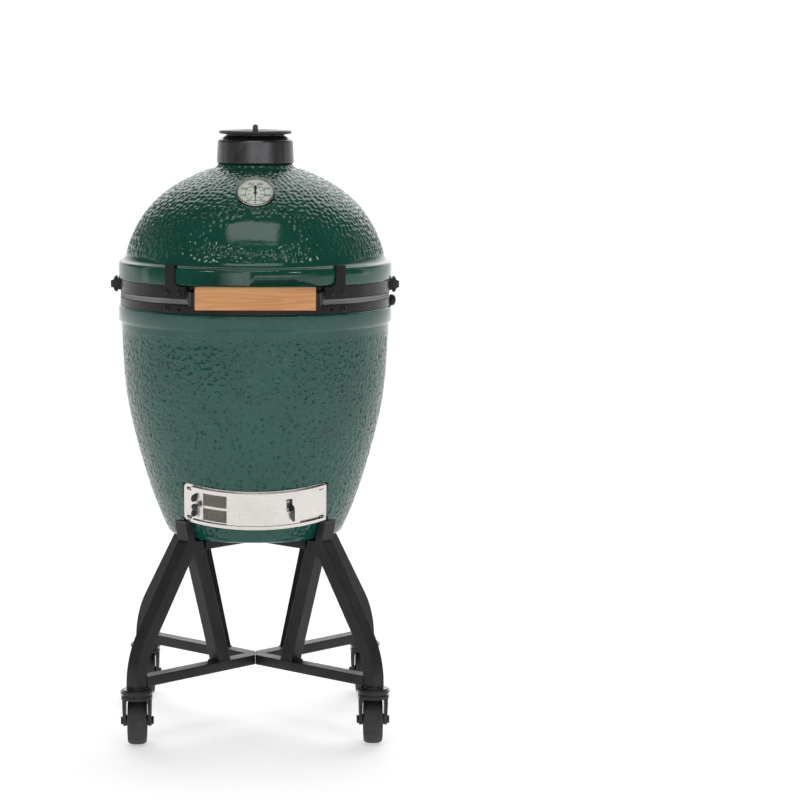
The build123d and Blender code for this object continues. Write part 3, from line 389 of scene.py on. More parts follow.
def make_object(name, shapes, finish, smooth_angle=35):
    vertices, faces = join_shapes(shapes)
    mesh = new_mesh(name, [tuple(vertex) for vertex in vertices], faces)
    mesh.validate()
    return show(name, mesh, finish, smooth_angle)


def add_piece(made, body, slot, *replaced):
    """Make a piece ride on a body, standing for CAD nodes, which it hides; slot is not used."""
    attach(made, body)
    if replaced:
        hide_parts(*replaced)
    return made


def build_piece(name, shapes, finish, body, slot, *replaced, smooth_angle=35, rounding=0.0):
    """One riding piece out of several shapes, with its edges rounded by a width."""
    made = make_object(name, shapes, finish, smooth_angle)
    if rounding:
        add_bevel(made, rounding, 2, 40)
    return add_piece(made, body, slot, *replaced)


def add_bevel(made, width, segments, angle):
    bevel = made.modifiers.new("bevel", "BEVEL")
    bevel.width = width
    bevel.segments = segments
    bevel.limit_method = "ANGLE"
    bevel.angle_limit = radians(angle)


def plain_part(finish, names, width=0.0, segments=2, angle=38):
    """Give CAD nodes their material, and round their sharp edges with modifiers; their own meshes
    stay as packed."""
    for name in names:
        cad = nodes[name]
        cad.data.materials.clear()
        cad.data.materials.append(finishes[finish])
        if not width:
            continue
        cad.modifiers.new("weld", "WELD").merge_threshold = 2e-6
        add_bevel(cad, width, segments, angle)
        shading = cad.modifiers.new("shading", "WEIGHTED_NORMAL")
        shading.keep_sharp = False
        shading.weight = 80


def grid_faces(rows, columns, round_columns=True, round_rows=False):
    """Faces between the points of a grid that is listed row by row."""
    faces = []
    for row in range(rows if round_rows else rows - 1):
        below, above = row * columns, (row + 1) % rows * columns
        for column in range(columns if round_columns else columns - 1):
            after = (column + 1) % columns
            faces.append((below + column, below + after, above + after, above + column))
    return faces


def skin(rows, columns, closed=False):
    """Faces of rings of points: closed joins the last ring to the first, else both ends are capped."""
    faces = grid_faces(rows, columns, round_rows=closed)
    if not closed:
        faces += [tuple(reversed(range(columns))), tuple(range((rows - 1) * columns, rows * columns))]
    return faces


def arc(centre, radii, start, end, count, power=(1, 1)):
    """Points along an ellipse between two angles in degrees, both included. A power under 1 makes
    the curve squarer along that axis."""
    points = []
    for turn in np.radians(np.linspace(start, end, count)):
        x, y = (np.sign(value) * abs(value)**much for value, much in zip((cos(turn), sin(turn)), power))
        points.append((centre[0] + radii[0] * x, centre[1] + radii[1] * y))
    return points


def lathe(outline, columns, closed=False, place=Matrix.Identity(4)):
    """Turn (radius, height) points round local Z. A point may have a third value, a function of
    the angle that scales the radius there."""
    vertices = []
    for ring in outline:
        for column in range(columns):
            angle = tau * column / columns
            radius = ring[0] * (ring[2](angle) if len(ring) > 2 else 1)
            vertices.append(place @ Vector((radius * cos(angle), radius * sin(angle), ring[1])))
    return vertices, skin(len(outline), columns, closed)


def tube(path, radius, sides=8, closed=False):
    """Round wire along a path of points. radius is one number or one for each point."""
    points = [Vector(p) for p in path]
    count = len(points)
    radii = radius if hasattr(radius, "__len__") else [radius] * count
    vertices = []
    side = None
    for index, point in enumerate(points):
        ahead = points[(index + 1) % count] if closed else points[min(index + 1, count - 1)]
        behind = points[index - 1] if closed else points[max(index - 1, 0)]
        along = (ahead - behind).normalized()
        if side is None:
            side = along.orthogonal().normalized()
        side = (side - along * side.dot(along)).normalized()
        other = along.cross(side)
        for step in range(sides):
            angle = tau * step / sides
            vertices.append(point + (side * cos(angle) + other * sin(angle)) * radii[index])
    return vertices, skin(count, sides, closed)


def prism(outline, low, high, place):
    """A flat outline of local (x, y) points as a solid between two local heights."""
    vertices = [place @ Vector((x, y, height)) for height in (low, high) for x, y in outline]
    return vertices, skin(2, len(outline))


def axes_matrix(origin, out, up=Vector((0, 0, 1))):
    """Matrix whose local Z points out and whose local Y is as near up as it can be."""
    out = Vector(out).normalized()
    across = Vector(up).cross(out)
    if across.length < 1e-6:
        across = out.orthogonal()
    across.normalize()
    basis = Matrix((across, out.cross(across), out)).transposed().to_4x4()
    return Matrix.Translation(origin) @ basis


def hexagon(angle):
    """Radius of a hexagon of unit inner radius at an angle."""
    return 1 / cos((angle + pi / 6) % (pi / 3) - pi / 6)


def button_head(radius, height, socket, place):
    """Button head with a hexagonal socket, standing on local Z = 0."""
    rim = socket * 1.25
    outline = [(radius, -0.2 * MM), (radius, height * 0.25)]
    outline += arc((rim, height * 0.25), (radius - rim, height * 0.75), 15, 75, 5)
    outline += [(socket * 1.22, height), (socket * 1.03, height, hexagon),
                (socket, height - 0.25 * MM, hexagon), (socket, height * 0.4, hexagon),
                (socket * 0.1, height * 0.34)]
    return lathe(outline, 36, place=place)


def hex_nut(radius, height, place):
    """Hexagonal nut or bolt head with turned-down corners."""
    chamfer = radius * 0.14
    flat = radius * 0.86
    outline = [(flat, 0, hexagon), (flat, height - chamfer, hexagon), (flat, height - chamfer * 0.2),
               (radius * 0.55, height), (radius * 0.1, height)]
    return lathe(outline, 36, place=place)


def welded(mesh, distance):
    """A bmesh of a CAD mesh, its triangles joined at their shared points."""
    work = bmesh.new()
    work.from_mesh(mesh)
    bmesh.ops.remove_doubles(work, verts=work.verts, dist=distance)
    return work


def islands(node):
    """The separate solids of a CAD node: the points, lowest and highest corner of each."""
    work = welded(nodes[node].data, 1e-6)
    work.verts.ensure_lookup_table()
    seen = set()
    found = []
    for start in work.verts:
        if start.index in seen:
            continue
        seen.add(start.index)
        stack, members = [start], []
        while stack:
            vertex = stack.pop()
            members.append(tuple(vertex.co))
            for edge in vertex.link_edges:
                other = edge.other_vert(vertex)
                if other.index not in seen:
                    seen.add(other.index)
                    stack.append(other)
        points = np.array(members)
        found.append((points, Vector(points.min(0)), Vector(points.max(0))))
    work.free()
    return found


def node_points(node):
    mesh = nodes[node].data
    points = np.empty(len(mesh.vertices) * 3)
    mesh.vertices.foreach_get("co", points)
    return points.reshape(-1, 3)


# ---- glazed egg

def skin_profile(tree, low, high, spacing):
    """Radii, heights and distances along the skin of a turned CAD solid's outside, evenly spaced."""
    azimuth, reach = pi / 2, 0.5
    out = Vector((cos(azimuth), sin(azimuth), 0))
    fine = []
    for height in np.linspace(low, high, 900):
        hit = tree.ray_cast(out * reach + Vector((0, 0, height)), -out)[0]
        fine.append((hypot(hit.x, hit.y), height))
    fine = np.array(fine)
    steps = np.hypot(*np.diff(fine, axis=0).T)
    along = np.concatenate([[0], np.cumsum(steps)])
    even = np.linspace(0, along[-1], int(along[-1] / spacing) + 1)
    return np.interp(even, along, fine[:, 0]), np.interp(even, along, fine[:, 1]), even


def dimples(radii, along, azimuths):
    """Share from 0 to 1 of the dimple depth on a grid: staggered rows of uneven shallow bowls."""
    random = np.random.default_rng(3)
    pitch = 11.6 * MM
    row_pitch = pitch * 0.86
    rows = int(along[-1] / row_pitch) + 3
    row_radii = np.interp(np.arange(rows) * row_pitch, along, radii)
    counts = np.maximum(np.round(tau * row_radii / pitch).astype(int), 6)
    most = counts.max()
    shift = random.uniform(-0.27, 0.27, (rows, most, 2)) * pitch
    size = random.uniform(0.42, 0.56, (rows, most)) * pitch
    offset = random.uniform(0, 1, rows)
    grid_along = np.repeat(along[:, None], len(azimuths), 1)
    grid_radius = np.repeat(radii[:, None], len(azimuths), 1)
    grid_azimuth = np.repeat(azimuths[None, :], len(along), 0)
    nearest_row = np.round(grid_along / row_pitch).astype(int)
    depth = np.zeros_like(grid_along)
    for row_step in (-1, 0, 1):
        row = np.clip(nearest_row + row_step, 0, rows - 1)
        count = counts[row]
        nearest_column = np.round(grid_azimuth / tau * count - offset[row]).astype(int)
        for column in (nearest_column - 1, nearest_column, nearest_column + 1):
            cell = column % count
            across = (grid_azimuth - (column + offset[row]) * tau / count) * grid_radius - shift[row, cell, 0]
            up = grid_along - row * row_pitch - shift[row, cell, 1]
            share = np.clip(1 - (across**2 + up**2) / size[row, cell]**2, 0, 1)
            depth = np.maximum(depth, share * share * (3 - 2 * share))
    return depth


def smooth_step(low, high, value):
    share = np.clip((value - low) / (high - low), 0, 1)
    return share * share * (3 - 2 * share)


def egg_envelope(mesh, low, high, zone, depth, columns, spacing, bulge, pattern):
    """A dense turned solid just outside the ceramic, with dimples of a depth pressed in between the
    zone's heights. bulge(x, y, z) gives how far outside it also has to stay round fittings, and
    pattern(x, y, z) the share of the depth."""
    tree = BVHTree.FromPolygons([v.co for v in mesh.vertices], [p.vertices for p in mesh.polygons])
    radii, heights, along = skin_profile(tree, low, high, spacing)
    azimuths = np.arange(columns) / columns * tau
    x = np.outer(radii, np.cos(azimuths))
    y = np.outer(radii, np.sin(azimuths))
    z = np.repeat(heights[:, None], columns, 1)
    share = dimples(radii, along, azimuths) * pattern(x, y, z)
    fade = 14 * MM
    inside = smooth_step(zone[0], zone[0] + fade, heights) * smooth_step(-zone[1], -zone[1] + fade, -heights)
    outside = np.maximum(np.maximum(zone[0] - heights, heights - zone[1]), 0)
    ripple = 0.12 * MM * np.sin(z / (31 * MM) * tau) * np.sin(3 * azimuths + z / (90 * MM) * tau)
    pressed = (share * depth + 0.12 * MM + ripple) * inside[:, None]
    lift = np.maximum(np.minimum(outside * 0.6, 4 * MM)[:, None] - pressed, bulge(x, y, z))
    across, up = np.gradient(radii), np.gradient(heights)
    length = np.hypot(across, up)
    x += lift * (up / length)[:, None] * np.cos(azimuths)
    y += lift * (up / length)[:, None] * np.sin(azimuths)
    z -= lift * (across / length)[:, None]
    vertices = np.stack([x, y, z], -1).reshape(-1, 3).tolist()
    faces = grid_faces(len(radii), columns)
    bottom, top, last = len(vertices), len(vertices) + 1, (len(radii) - 1) * columns
    vertices += [(0, 0, heights[0] - 5 * MM), (0, 0, heights[-1] + 8 * MM)]
    for column in range(columns):
        after = (column + 1) % columns
        faces += [(bottom, after, column), (top, last + column, last + after)]
    return vertices, faces


def keep_inside(made, vertices, faces):
    """Cut an object down to what lies inside a closed envelope."""
    envelope = new_object("envelope", new_mesh("envelope", vertices, faces))
    cut = made.modifiers.new("dimples", "BOOLEAN")
    cut.operation = "INTERSECT"
    cut.solver = "MANIFOLD"
    cut.object = envelope
    result = evaluated_mesh(made)
    made.modifiers.clear()
    made.data = result
    bpy.data.objects.remove(envelope)


def glaze_inside(mesh, finish, low):
    """The outer glaze outside, and the matt inner glaze on faces turned inwards and inner ledges."""
    mesh.materials.clear()
    mesh.materials.append(finishes[finish])
    mesh.materials.append(finishes["inner_glaze"])
    count = len(mesh.polygons)
    centres, normals = np.empty(count * 3), np.empty(count * 3)
    mesh.polygons.foreach_get("center", centres)
    mesh.polygons.foreach_get("normal", normals)
    x, y, z = centres.reshape(-1, 3).T
    out_x, out_y, out_z = normals.reshape(-1, 3).T
    radius = np.hypot(x, y)
    inwards = (x * out_x + y * out_y) / np.maximum(radius, 1e-6) < -0.05
    ledge = (np.abs(out_z) > 0.98) & (radius < 0.245) & (z > low + 20 * MM)
    mesh.polygons.foreach_set("material_index", (inwards | ledge).astype(np.int32))
    mesh.polygons.foreach_set("use_smooth", [True] * count)
    mesh.set_sharp_from_angle(angle=radians(33))


def dimpled_egg(name, node, body, finish, **dimpling):
    """The CAD ceramic with dimples pressed into its outside."""
    mesh = nodes[node].data.copy()
    work = welded(mesh, 2e-6)
    work.to_mesh(mesh)
    work.free()
    low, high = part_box(node)[0].z + 0.3 * MM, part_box(node)[1].z - 0.3 * MM
    envelope = egg_envelope(mesh, low, high, **dimpling)
    egg = show(name, mesh, finish)
    keep_inside(egg, *envelope)
    glaze_inside(egg.data, finish, low)
    add_piece(egg, body, "green_glaze", node)


def round_the_door(x, y, z):
    """How far the base's envelope stands out behind the draft frame, and else far inside."""
    low, high = door_extent(node_points("draft_frame"))
    margin = 2.5 * MM
    height = (y - door_origin.y) * door_up.y + (z - door_origin.z) * door_up.z
    half_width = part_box("draft_frame")[1].x - margin
    behind = (np.abs(x) < half_width) & (height > low[2] + margin) & (height < high[2] - margin) & (y < 0)
    return np.where(behind, 12 * MM, -1.0)


def round_the_dial(x, y, z):
    """The dome's envelope stands out behind the thermometer's case."""
    case_low, case_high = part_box("thermometer_case")
    offset = np.stack([x - dial_centre.x, y - dial_centre.y, z - dial_centre.z], -1)
    from_axis = np.linalg.norm(np.cross(offset, np.array(dial_out)), axis=-1)
    behind = (from_axis < (case_high.x - case_low.x) / 2 + 0.6 * MM) & (y < 0)
    return np.where(behind, 6 * MM, -1.0)


def all_over(x, y, z):
    """The full depth everywhere."""
    return 1.0


def round_the_emblem(x, y, z):
    """1 on the dimpled dome, 0 on the plain oval at its front."""
    low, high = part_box("ceramic_dome")
    middle = low.z + 0.43 * (high.z - low.z)
    turn = np.arctan2(z - middle, x)
    wobble = 1 + 0.10 * np.sin(5 * turn + 1.0) + 0.06 * np.sin(9 * turn)
    reach = np.sqrt((x / (80 * MM))**2 + ((z - middle) / (31 * MM))**2) * wobble
    return np.where(np.abs(np.arctan2(y, x) + pi / 2) < 1.0, smooth_step(0.88, 1.08, reach), 1.0)


def build_egg():
    base_zone = (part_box("ceramic_base")[0].z + 10 * MM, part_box("lower_band")[0].z - 47 * MM)
    dome_zone = (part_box("ceramic_dome")[0].z + 70 * MM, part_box("cap_body")[0].z + 8 * MM)
    dimpled_egg("glazed_base", "ceramic_base", "root", "pitted_glaze", zone=base_zone, depth=1.1 * MM,
                columns=552, spacing=2.8 * MM, bulge=round_the_door, pattern=all_over)
    dimpled_egg("glazed_dome", "ceramic_dome", "dome", "green_glaze", zone=dome_zone, depth=1.6 * MM,
                columns=664, spacing=2.5 * MM, bulge=round_the_dial, pattern=round_the_emblem)


# ---- gaskets, fasteners and hinge

def felt_ring(name, node, body):
    """Felt gasket with a soft uneven outer edge."""
    low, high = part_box(node)
    middle, half, outer = (low.z + high.z) / 2, (high.z - low.z) / 2, high.x
    tree = BVHTree.FromObject(nodes[node], bpy.context.evaluated_depsgraph_get())
    inner = tree.ray_cast(Vector((0, 0, middle)), Vector((1, 0, 0)))[0].x
    columns = 900
    fuzz = np.convolve(rng.normal(0, 1, columns + 4), [0.2] * 5, "valid") * 0.25 * MM
    nap = 0.9 * MM

    def ragged(angle):
        return 1 + fuzz[int(angle / tau * columns) % columns] / outer

    edge = arc((outer - nap, middle), (nap, half), -72, 72, 9, (0.6, 0.6))
    outline = [(inner, low.z), (outer - nap, low.z), *((radius, height, ragged) for radius, height in edge),
               (outer - nap, high.z), (inner, high.z)]
    build_piece(name, [lathe(outline, columns, closed=True)], "felt", body, "felt", node)


def bracket_screws():
    """Button heads, nuts and studs in place of the CAD's plain fasteners on the bands."""
    shapes = []
    back = Vector((0, 1, 0))
    washer = 1.2 * MM
    rear_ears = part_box("upper_band_front")[1].x + 12 * MM
    for _, low, high in islands("dome_fasteners"):
        middle, size = (low + high) / 2, high - low
        radius = size.z / 2
        if size.y > 18 * MM:      # a bolt right through a pair of ears
            length = size.y - 7 * MM
            shank = [(3 * MM, 0), (3 * MM, length + 1.5 * MM), (2.4 * MM, length + 2 * MM)]
            shapes.append(lathe(shank, 24, place=axes_matrix((middle.x, low.y + 5 * MM, middle.z), back)))
            for out, nut_height in ((-back, 5.5 * MM), (back, 6 * MM)):
                face = Vector((middle.x, 0, middle.z)) + out * 5.6 * MM
                rim = [(radius * 1.05, 0), (radius * 1.05, washer)]
                shapes.append(lathe(rim, 36, place=axes_matrix(face, out)))
                shapes.append(hex_nut(radius, nut_height, axes_matrix(face + out * washer, out)))
            continue
        if abs(middle.y) > rear_ears or abs(middle.x) < 125 * MM:
            out = back
            foot = Vector((middle.x, low.y, middle.z))
        else:
            out = Vector((middle.x, middle.y, 0)).normalized()
            foot = middle - out * 2 * MM
        height = 4 * MM if out.y < 0 else 3 * MM
        shapes.append(button_head(radius, height, 2.1 * MM, axes_matrix(foot, out)))
    build_piece("socket_screws", shapes, "black_fastener", "dome", "black_fastener", "dome_fasteners")


def fluted(angle):
    """Shallow finger grooves round a knob."""
    return 1 - 0.03 * (0.5 - 0.5 * cos(16 * angle))**2


def strap_screws():
    """Screws of the front strap and the knurled clamp knob at the band's right."""
    shapes = []
    for points, low, high in islands("lower_band_bolts"):
        middle, radius = (low + high) / 2, (high.z - low.z) / 2
        out = Vector((middle.x, middle.y, 0)).normalized()
        reach = np.ptp(points @ np.array(out))
        place = axes_matrix(middle - out * (reach / 2), out)
        if radius < 10 * MM:
            shapes.append(button_head(radius, reach, radius * 0.4, place))
            continue
        grip = reach * 0.42
        outline = [(5 * MM, 0), (5 * MM, 0.5 * MM), (radius * 0.965, 0.6 * MM), (radius, 1.2 * MM, fluted),
                   (radius, grip, fluted), *arc((0, grip), (radius, reach - grip), 10, 80, 8, (0.8, 1)),
                   (0.3 * MM, reach)]
        shapes.append(lathe(outline, 144, place=place))
    build_piece("strap_screws", shapes, "black_fastener", "root", "black_fastener", "lower_band_bolts")


def foot_bolts():
    """Acorn cap bolts with a washer at the foot of each strut."""
    shapes = []
    for _, low, high in islands("stand_bolts"):
        radius, height = (high.x - low.x) / 2, high.z - low.z
        acorn, brow = radius * 0.72, height * 0.56
        outline = [(radius, 0), (radius, 1.0 * MM), (radius * 0.86, 1.2 * MM),
                   (radius * 0.74, 1.3 * MM, hexagon), (radius * 0.74, height * 0.5, hexagon), (acorn, brow),
                   *arc((0, brow), (acorn, height - brow), 14.7, 88.2, 6)]
        foot = Vector(((low.x + high.x) / 2, (low.y + high.y) / 2, low.z))
        shapes.append(lathe(outline, 36, place=axes_matrix(foot, (0, 0, 1), (0, 1, 0))))
    build_piece("foot_bolts", shapes, "black_fastener", "root", "black_fastener", "stand_bolts")


def hinge_spring(name, root_end, dome_end):
    """One torsion spring: its coils twist between the leg on the base and the leg on the dome."""
    pivot = Vector(joints["dome_hinge"]["pos_m"])
    wire, coil_radius, leg_reach = 1.9 * MM, 7.7 * MM, 20 * MM
    turns, steps = 7.25, 28
    forward = 1 if dome_end > root_end else -1
    path = [Vector((root_end, pivot.y - leg_reach * share, pivot.z - coil_radius - 5 * MM * share**2))
            for share in (1.0, 0.75, 0.5, 0.25)]
    for step in range(int(turns * steps) + 1):
        share = step / (turns * steps)
        angle = -pi / 2 + tau * turns * share * forward
        x = root_end + (dome_end - root_end) * share
        path.append(Vector((x, pivot.y + coil_radius * cos(angle), pivot.z + coil_radius * sin(angle))))
    before, last = path[-2:]
    along = Vector((0, last.y - before.y, last.z - before.z)).normalized()
    bend = Vector((0, -0.5 * MM, 0.25 * MM))
    path += [last + along * (4 * MM) * count + bend * count**2 for count in (1, 2, 3, 4)]
    spring = make_object(name, [tube(path, wire, 10)], "spring_steel", 60)
    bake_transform(spring)
    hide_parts("hinge_springs")


def build_fittings():
    felt_ring("lower_felt", "base_gasket", "root")
    felt_ring("upper_felt", "dome_gasket", "dome")
    bracket_screws()
    strap_screws()
    foot_bolts()
    low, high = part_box("hinge_springs")
    gap, inset = 6 * MM, 3 * MM
    hinge_spring("spring_left", low.x + inset, -gap)
    hinge_spring("spring_right", high.x - inset, gap)


# ---- thermometer

def dial_matrix(height):
    return axes_matrix(dial_centre + dial_out * height, dial_out, dial_up)


def dial_arc(radius, width, start, end, low, high):
    """A thin raised arc, as short joined patches."""
    steps = max(int(abs(end - start) / radians(3)), 1)
    inner, outer = radius - width / 2, radius + width / 2
    edges = np.linspace(start, end, steps + 1)
    shapes = []
    for first, last in zip(edges, edges[1:]):
        outline = [(reach * cos(angle), reach * sin(angle))
                   for reach, angle in ((inner, first), (outer, first), (outer, last), (inner, last))]
        shapes.append(prism(outline, low, high, dial_matrix(0)))
    return shapes


def dial_number(text, size, radius, angle, low):
    """A number on the dial, upright, centred at an angle."""
    curve = bpy.data.curves.new("number", "FONT")
    curve.body = text
    curve.size = size
    curve.align_x = "CENTER"
    curve.align_y = "CENTER"
    curve.extrude = 0.05 * MM
    curve.offset = 0.12 * MM
    letters = new_object("number", curve)
    mesh = evaluated_mesh(letters)
    middle = Vector((radius * cos(angle), radius * sin(angle), 0))
    vertices = [dial_matrix(low) @ (v.co + middle) for v in mesh.vertices]
    faces = [tuple(p.vertices) for p in mesh.polygons]
    bpy.data.objects.remove(letters)
    bpy.data.meshes.remove(mesh)
    return vertices, faces


def dial_mark(angle, start, end, half):
    """Outline of a radial mark between two radii."""
    turn = Matrix.Rotation(angle, 2)
    outline = ((start, -half), (end, -half), (end, half), (start, half))
    return [tuple(turn @ Vector(point)) for point in outline]


def needle_pointer():
    """Needle with a broad black tail above its hub and a slim red tip below."""
    axes = np.array([dial_across, dial_up, dial_out]).T
    points = (node_points("thermometer_needle") - np.array(dial_centre)) @ axes
    low, high = points.min(0), points.max(0)
    tail, tip = max(high[1], -low[1], key=abs) * 0.6, min(low[1], -high[1])
    hub = (3.3 * MM, 3.3 * MM)
    outline = [(-0.3 * MM, tip), (0.3 * MM, tip), (0.9 * MM, -3 * MM), *arc((0, 0), hub, -60, 60, 13),
               (2.6 * MM, tail - 1 * MM), (1.8 * MM, tail), (-1.8 * MM, tail), (-2.6 * MM, tail - 1 * MM),
               *arc((0, 0), hub, 120, 240, 13), (-0.9 * MM, -3 * MM)]
    middle = high[2] - 0.22 * MM
    pointer = prism(outline, -0.15 * MM, 0.2 * MM, dial_matrix(middle))
    cap = [(2.0 * MM, -0.1 * MM), (2.0 * MM, 0.3 * MM), (1.4 * MM, 0.45 * MM), (0.2 * MM, 0.5 * MM)]
    boss = lathe(cap, 24, place=axes_matrix(dial_centre + dial_out * middle, dial_out))
    build_piece("needle_pointer", [pointer, boss], "needle_enamel", "needle", "needle_black",
                "thermometer_needle")


def build_thermometer():
    """The dial's scale, running clockwise from lower left to lower right, and its needle."""
    low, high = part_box("thermometer_dial")
    dial_radius = (high.x - low.x) / 2
    top = ((node_points("thermometer_dial") - np.array(dial_centre)) @ np.array(dial_out)).max()
    ink_heights = (top - 0.05 * MM, top + 0.08 * MM)
    ink = []
    first, last, marks = radians(235), radians(-55), 28
    for mark in range(marks + 1):
        angle = first + (last - first) * mark / marks
        hundreds, short = divmod(mark, 4)
        start, half = (0.86, 0.28 * MM) if short else (0.83, 0.55 * MM)
        outline = dial_mark(angle, dial_radius * start, dial_radius * 0.90, half)
        ink.append(prism(outline, *ink_heights, dial_matrix(0)))
        if not short:
            ink.append(dial_number(str(50 + 100 * hundreds), 7.6 * MM, dial_radius * 0.71, angle, top))
            ink.append(dial_number(str(50 * hundreds + 10), 5.2 * MM, dial_radius * 0.41, angle, top))
    ink += dial_arc(dial_radius * 0.555, 1.0 * MM, 0, tau, *ink_heights)
    red = dial_arc(dial_radius * 0.865, 1.5 * MM, radians(-68), radians(-138), *ink_heights)
    build_piece("dial_scale", ink, "dial_ink", "dome", "needle_black")
    build_piece("dial_red_arc", red, "dial_red", "dome", "needle_black")
    needle_pointer()


# ---- draft door

door_origin = Vector(joints["draft_door_slide"]["pos_m"])
door_up = Vector(joints["draft_door_slide"]["axis"]).normalized()
door_across = Vector((1, 0, 0))
door_in = door_up.cross(door_across)


def door_point(angle, radius, height):
    """A point in the draft door's leaning cylinder: angle from the front towards +X, radius and height."""
    outwards = door_across * sin(angle) - door_in * cos(angle)
    return door_origin + outwards * radius + door_up * height


def door_measures(points):
    """Angle, radius and height of each point in the door's leaning cylinder."""
    offset = np.asarray(points) - np.array(door_origin)
    across, inward = offset @ np.array(door_across), offset @ np.array(door_in)
    return np.stack([np.arctan2(across, -inward), np.hypot(across, inward), offset @ np.array(door_up)])


def door_extent(points):
    """Lowest and highest (angle, radius, height)."""
    measures = door_measures(points)
    return measures.min(1), measures.max(1)


def extent_between(points, nearest, farthest=1.0):
    """The extent of the points that lie between two radii."""
    radius = door_measures(points)[1]
    return door_extent(points[(radius > nearest) & (radius < farthest)])


def door_matrix(angle, radius, height):
    """Local Z out of the door, local Y up it, local X along it."""
    out = (door_point(angle, radius + 1, height) - door_point(angle, radius, height)).normalized()
    return axes_matrix(door_point(angle, radius, height), out, door_up)


def standing(place):
    """The same place with its axes swapped round, for an outline of (up, out) points."""
    return place @ Matrix(((0, 0, 1, 0), (1, 0, 0, 0), (0, 1, 0, 0), (0, 0, 0, 1)))


def curved_sheet(name, extent, thickness, body, finish, slot, holes=()):
    """A sheet bent round the door's cylinder, between (angle, radius, height) corners, with rectangular
    holes given as (low angle, high angle, low height, high height)."""
    low, high = extent
    angle_lines = set(np.linspace(low[0], high[0], 61))
    height_lines = set(np.linspace(low[2], high[2], 25))
    for hole in holes:
        angle_lines.update(hole[:2])
        height_lines.update(hole[2:])
    angles, heights = sorted(angle_lines), sorted(height_lines)
    vertices = [door_point(angle, low[1] + thickness / 2, height) for height in heights for angle in angles]
    faces = []
    for face in grid_faces(len(heights), len(angles), round_columns=False):
        row, column = divmod(face[0], len(angles))
        middle_angle = (angles[column] + angles[column + 1]) / 2
        middle_height = (heights[row] + heights[row + 1]) / 2
        if not any(a < middle_angle < b and c < middle_height < d for a, b, c, d in holes):
            faces.append(face)
    sheet = make_object(name, [(vertices, faces)], finish, 30)
    work = bmesh.new()
    work.from_mesh(sheet.data)
    bmesh.ops.delete(work, geom=[v for v in work.verts if not v.link_faces], context="VERTS")
    work.to_mesh(sheet.data)
    work.free()
    solid = sheet.modifiers.new("thickness", "SOLIDIFY")
    solid.thickness = thickness
    solid.offset = 0
    add_bevel(sheet, thickness * 0.3, 2, 50)
    return add_piece(sheet, body, slot)


def build_panel():
    """The solid slider; gives the radius of its outer face."""
    thickness = 1.4 * MM
    extent = door_extent(node_points("solid_slider"))
    panel = curved_sheet("draft_panel", extent, thickness, "draft_door", "stainless", "stainless")
    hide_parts("solid_slider")
    return extent[0][1] + thickness


def build_pull(surface):
    """Fin pull: a pad with two rivets and a blade that curls at its foot."""
    points = node_points("solid_slider")
    fin_low, fin_high = extent_between(points, surface + 4 * MM)
    pad_low, pad_high = extent_between(points, surface + 0.5 * MM, surface + 2 * MM)
    pad = 1.2 * MM
    curved_sheet("pull_pad", ((pad_low[0], surface, pad_low[2]), (pad_high[0], surface, pad_high[2])),
                 pad, "draft_door", "door_black", "cap_black")
    place = door_matrix((fin_low[0] + fin_high[0]) / 2, surface, 0)
    reach = fin_high[1] - surface
    curl = (7 * MM, 7 * MM)
    blade = [(fin_low[2], 0.4 * MM), (fin_low[2], reach * 0.45),
             *arc((fin_low[2] + 7 * MM, reach - 7 * MM), curl, 190, 70, 7),
             *arc((fin_high[2] - 8 * MM, reach - 8 * MM), curl, 80, -10, 6), (fin_high[2], 0.4 * MM)]
    fin = prism(blade[::-1], -1.2 * MM, 1.2 * MM, standing(place))
    build_piece("pull_fin", [fin], "door_black", "draft_door", "cap_black", rounding=0.5 * MM)
    rivets = []
    rivet_angle = (pad_low[0] + pad_high[0]) / 2 - radians(0.9)
    for height in (pad_low[2] + 4.5 * MM, pad_high[2] - 4.5 * MM):
        dome = [(3.1 * MM, 0), *arc((0, 0), (3.1 * MM, 1.7 * MM), 14.55, 87.3, 6)]
        rivets.append(lathe(dome, 28, place=door_matrix(rivet_angle, surface + pad, height)))
    build_piece("pull_rivets", rivets, "bezel_steel", "draft_door", "stainless")


def woven_wire(first, last, crossings, phase, radius):
    """A wire from one (angle, height) to another, over and under the wires it crosses."""
    swing, wire = 0.32 * MM, 0.36 * MM
    path = []
    for step in range(2 * crossings + 1):
        angle, height = (a + (b - a) * step / (2 * crossings) for a, b in zip(first, last))
        path.append(door_point(angle, radius + swing * cos(pi * (step / 2 + phase)), height))
    return tube(path, wire, 5)


def weave(windows, radius):
    """Plain-woven wires across each window."""
    pitch = 1.9 * MM
    shapes = []
    for start, end, bottom, top in windows:
        columns, rows = int((end - start) * radius / pitch), int((top - bottom) / pitch)
        for column in range(columns + 1):
            angle = start + (end - start) * (column + 0.5) / (columns + 1)
            shapes.append(woven_wire((angle, bottom), (angle, top), rows, column, radius))
        for row in range(rows + 1):
            height = bottom + (top - bottom) * (row + 0.5) / (rows + 1)
            shapes.append(woven_wire((start, height), (end, height), columns, row + 1, radius))
    build_piece("woven_screen", shapes, "mesh_steel", "draft_screen", "mesh_steel", "screen_mesh",
                smooth_angle=80)


def build_screen():
    """The screen slider with its two windows of woven wire; gives the radius of its outer face."""
    thickness = 1.2 * MM
    low, high = door_extent(node_points("screen_slider"))
    extents = [door_extent(points) for points, _, _ in islands("screen_mesh")]
    windows = [(start[0], end[0], start[2], end[2]) for start, end in extents]
    slider = curved_sheet("screen_panel", (low, high), thickness, "draft_screen", "stainless", "stainless",
                          windows)
    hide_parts("screen_slider")
    weave(windows, low[1] + thickness / 2)
    return low[1] + thickness


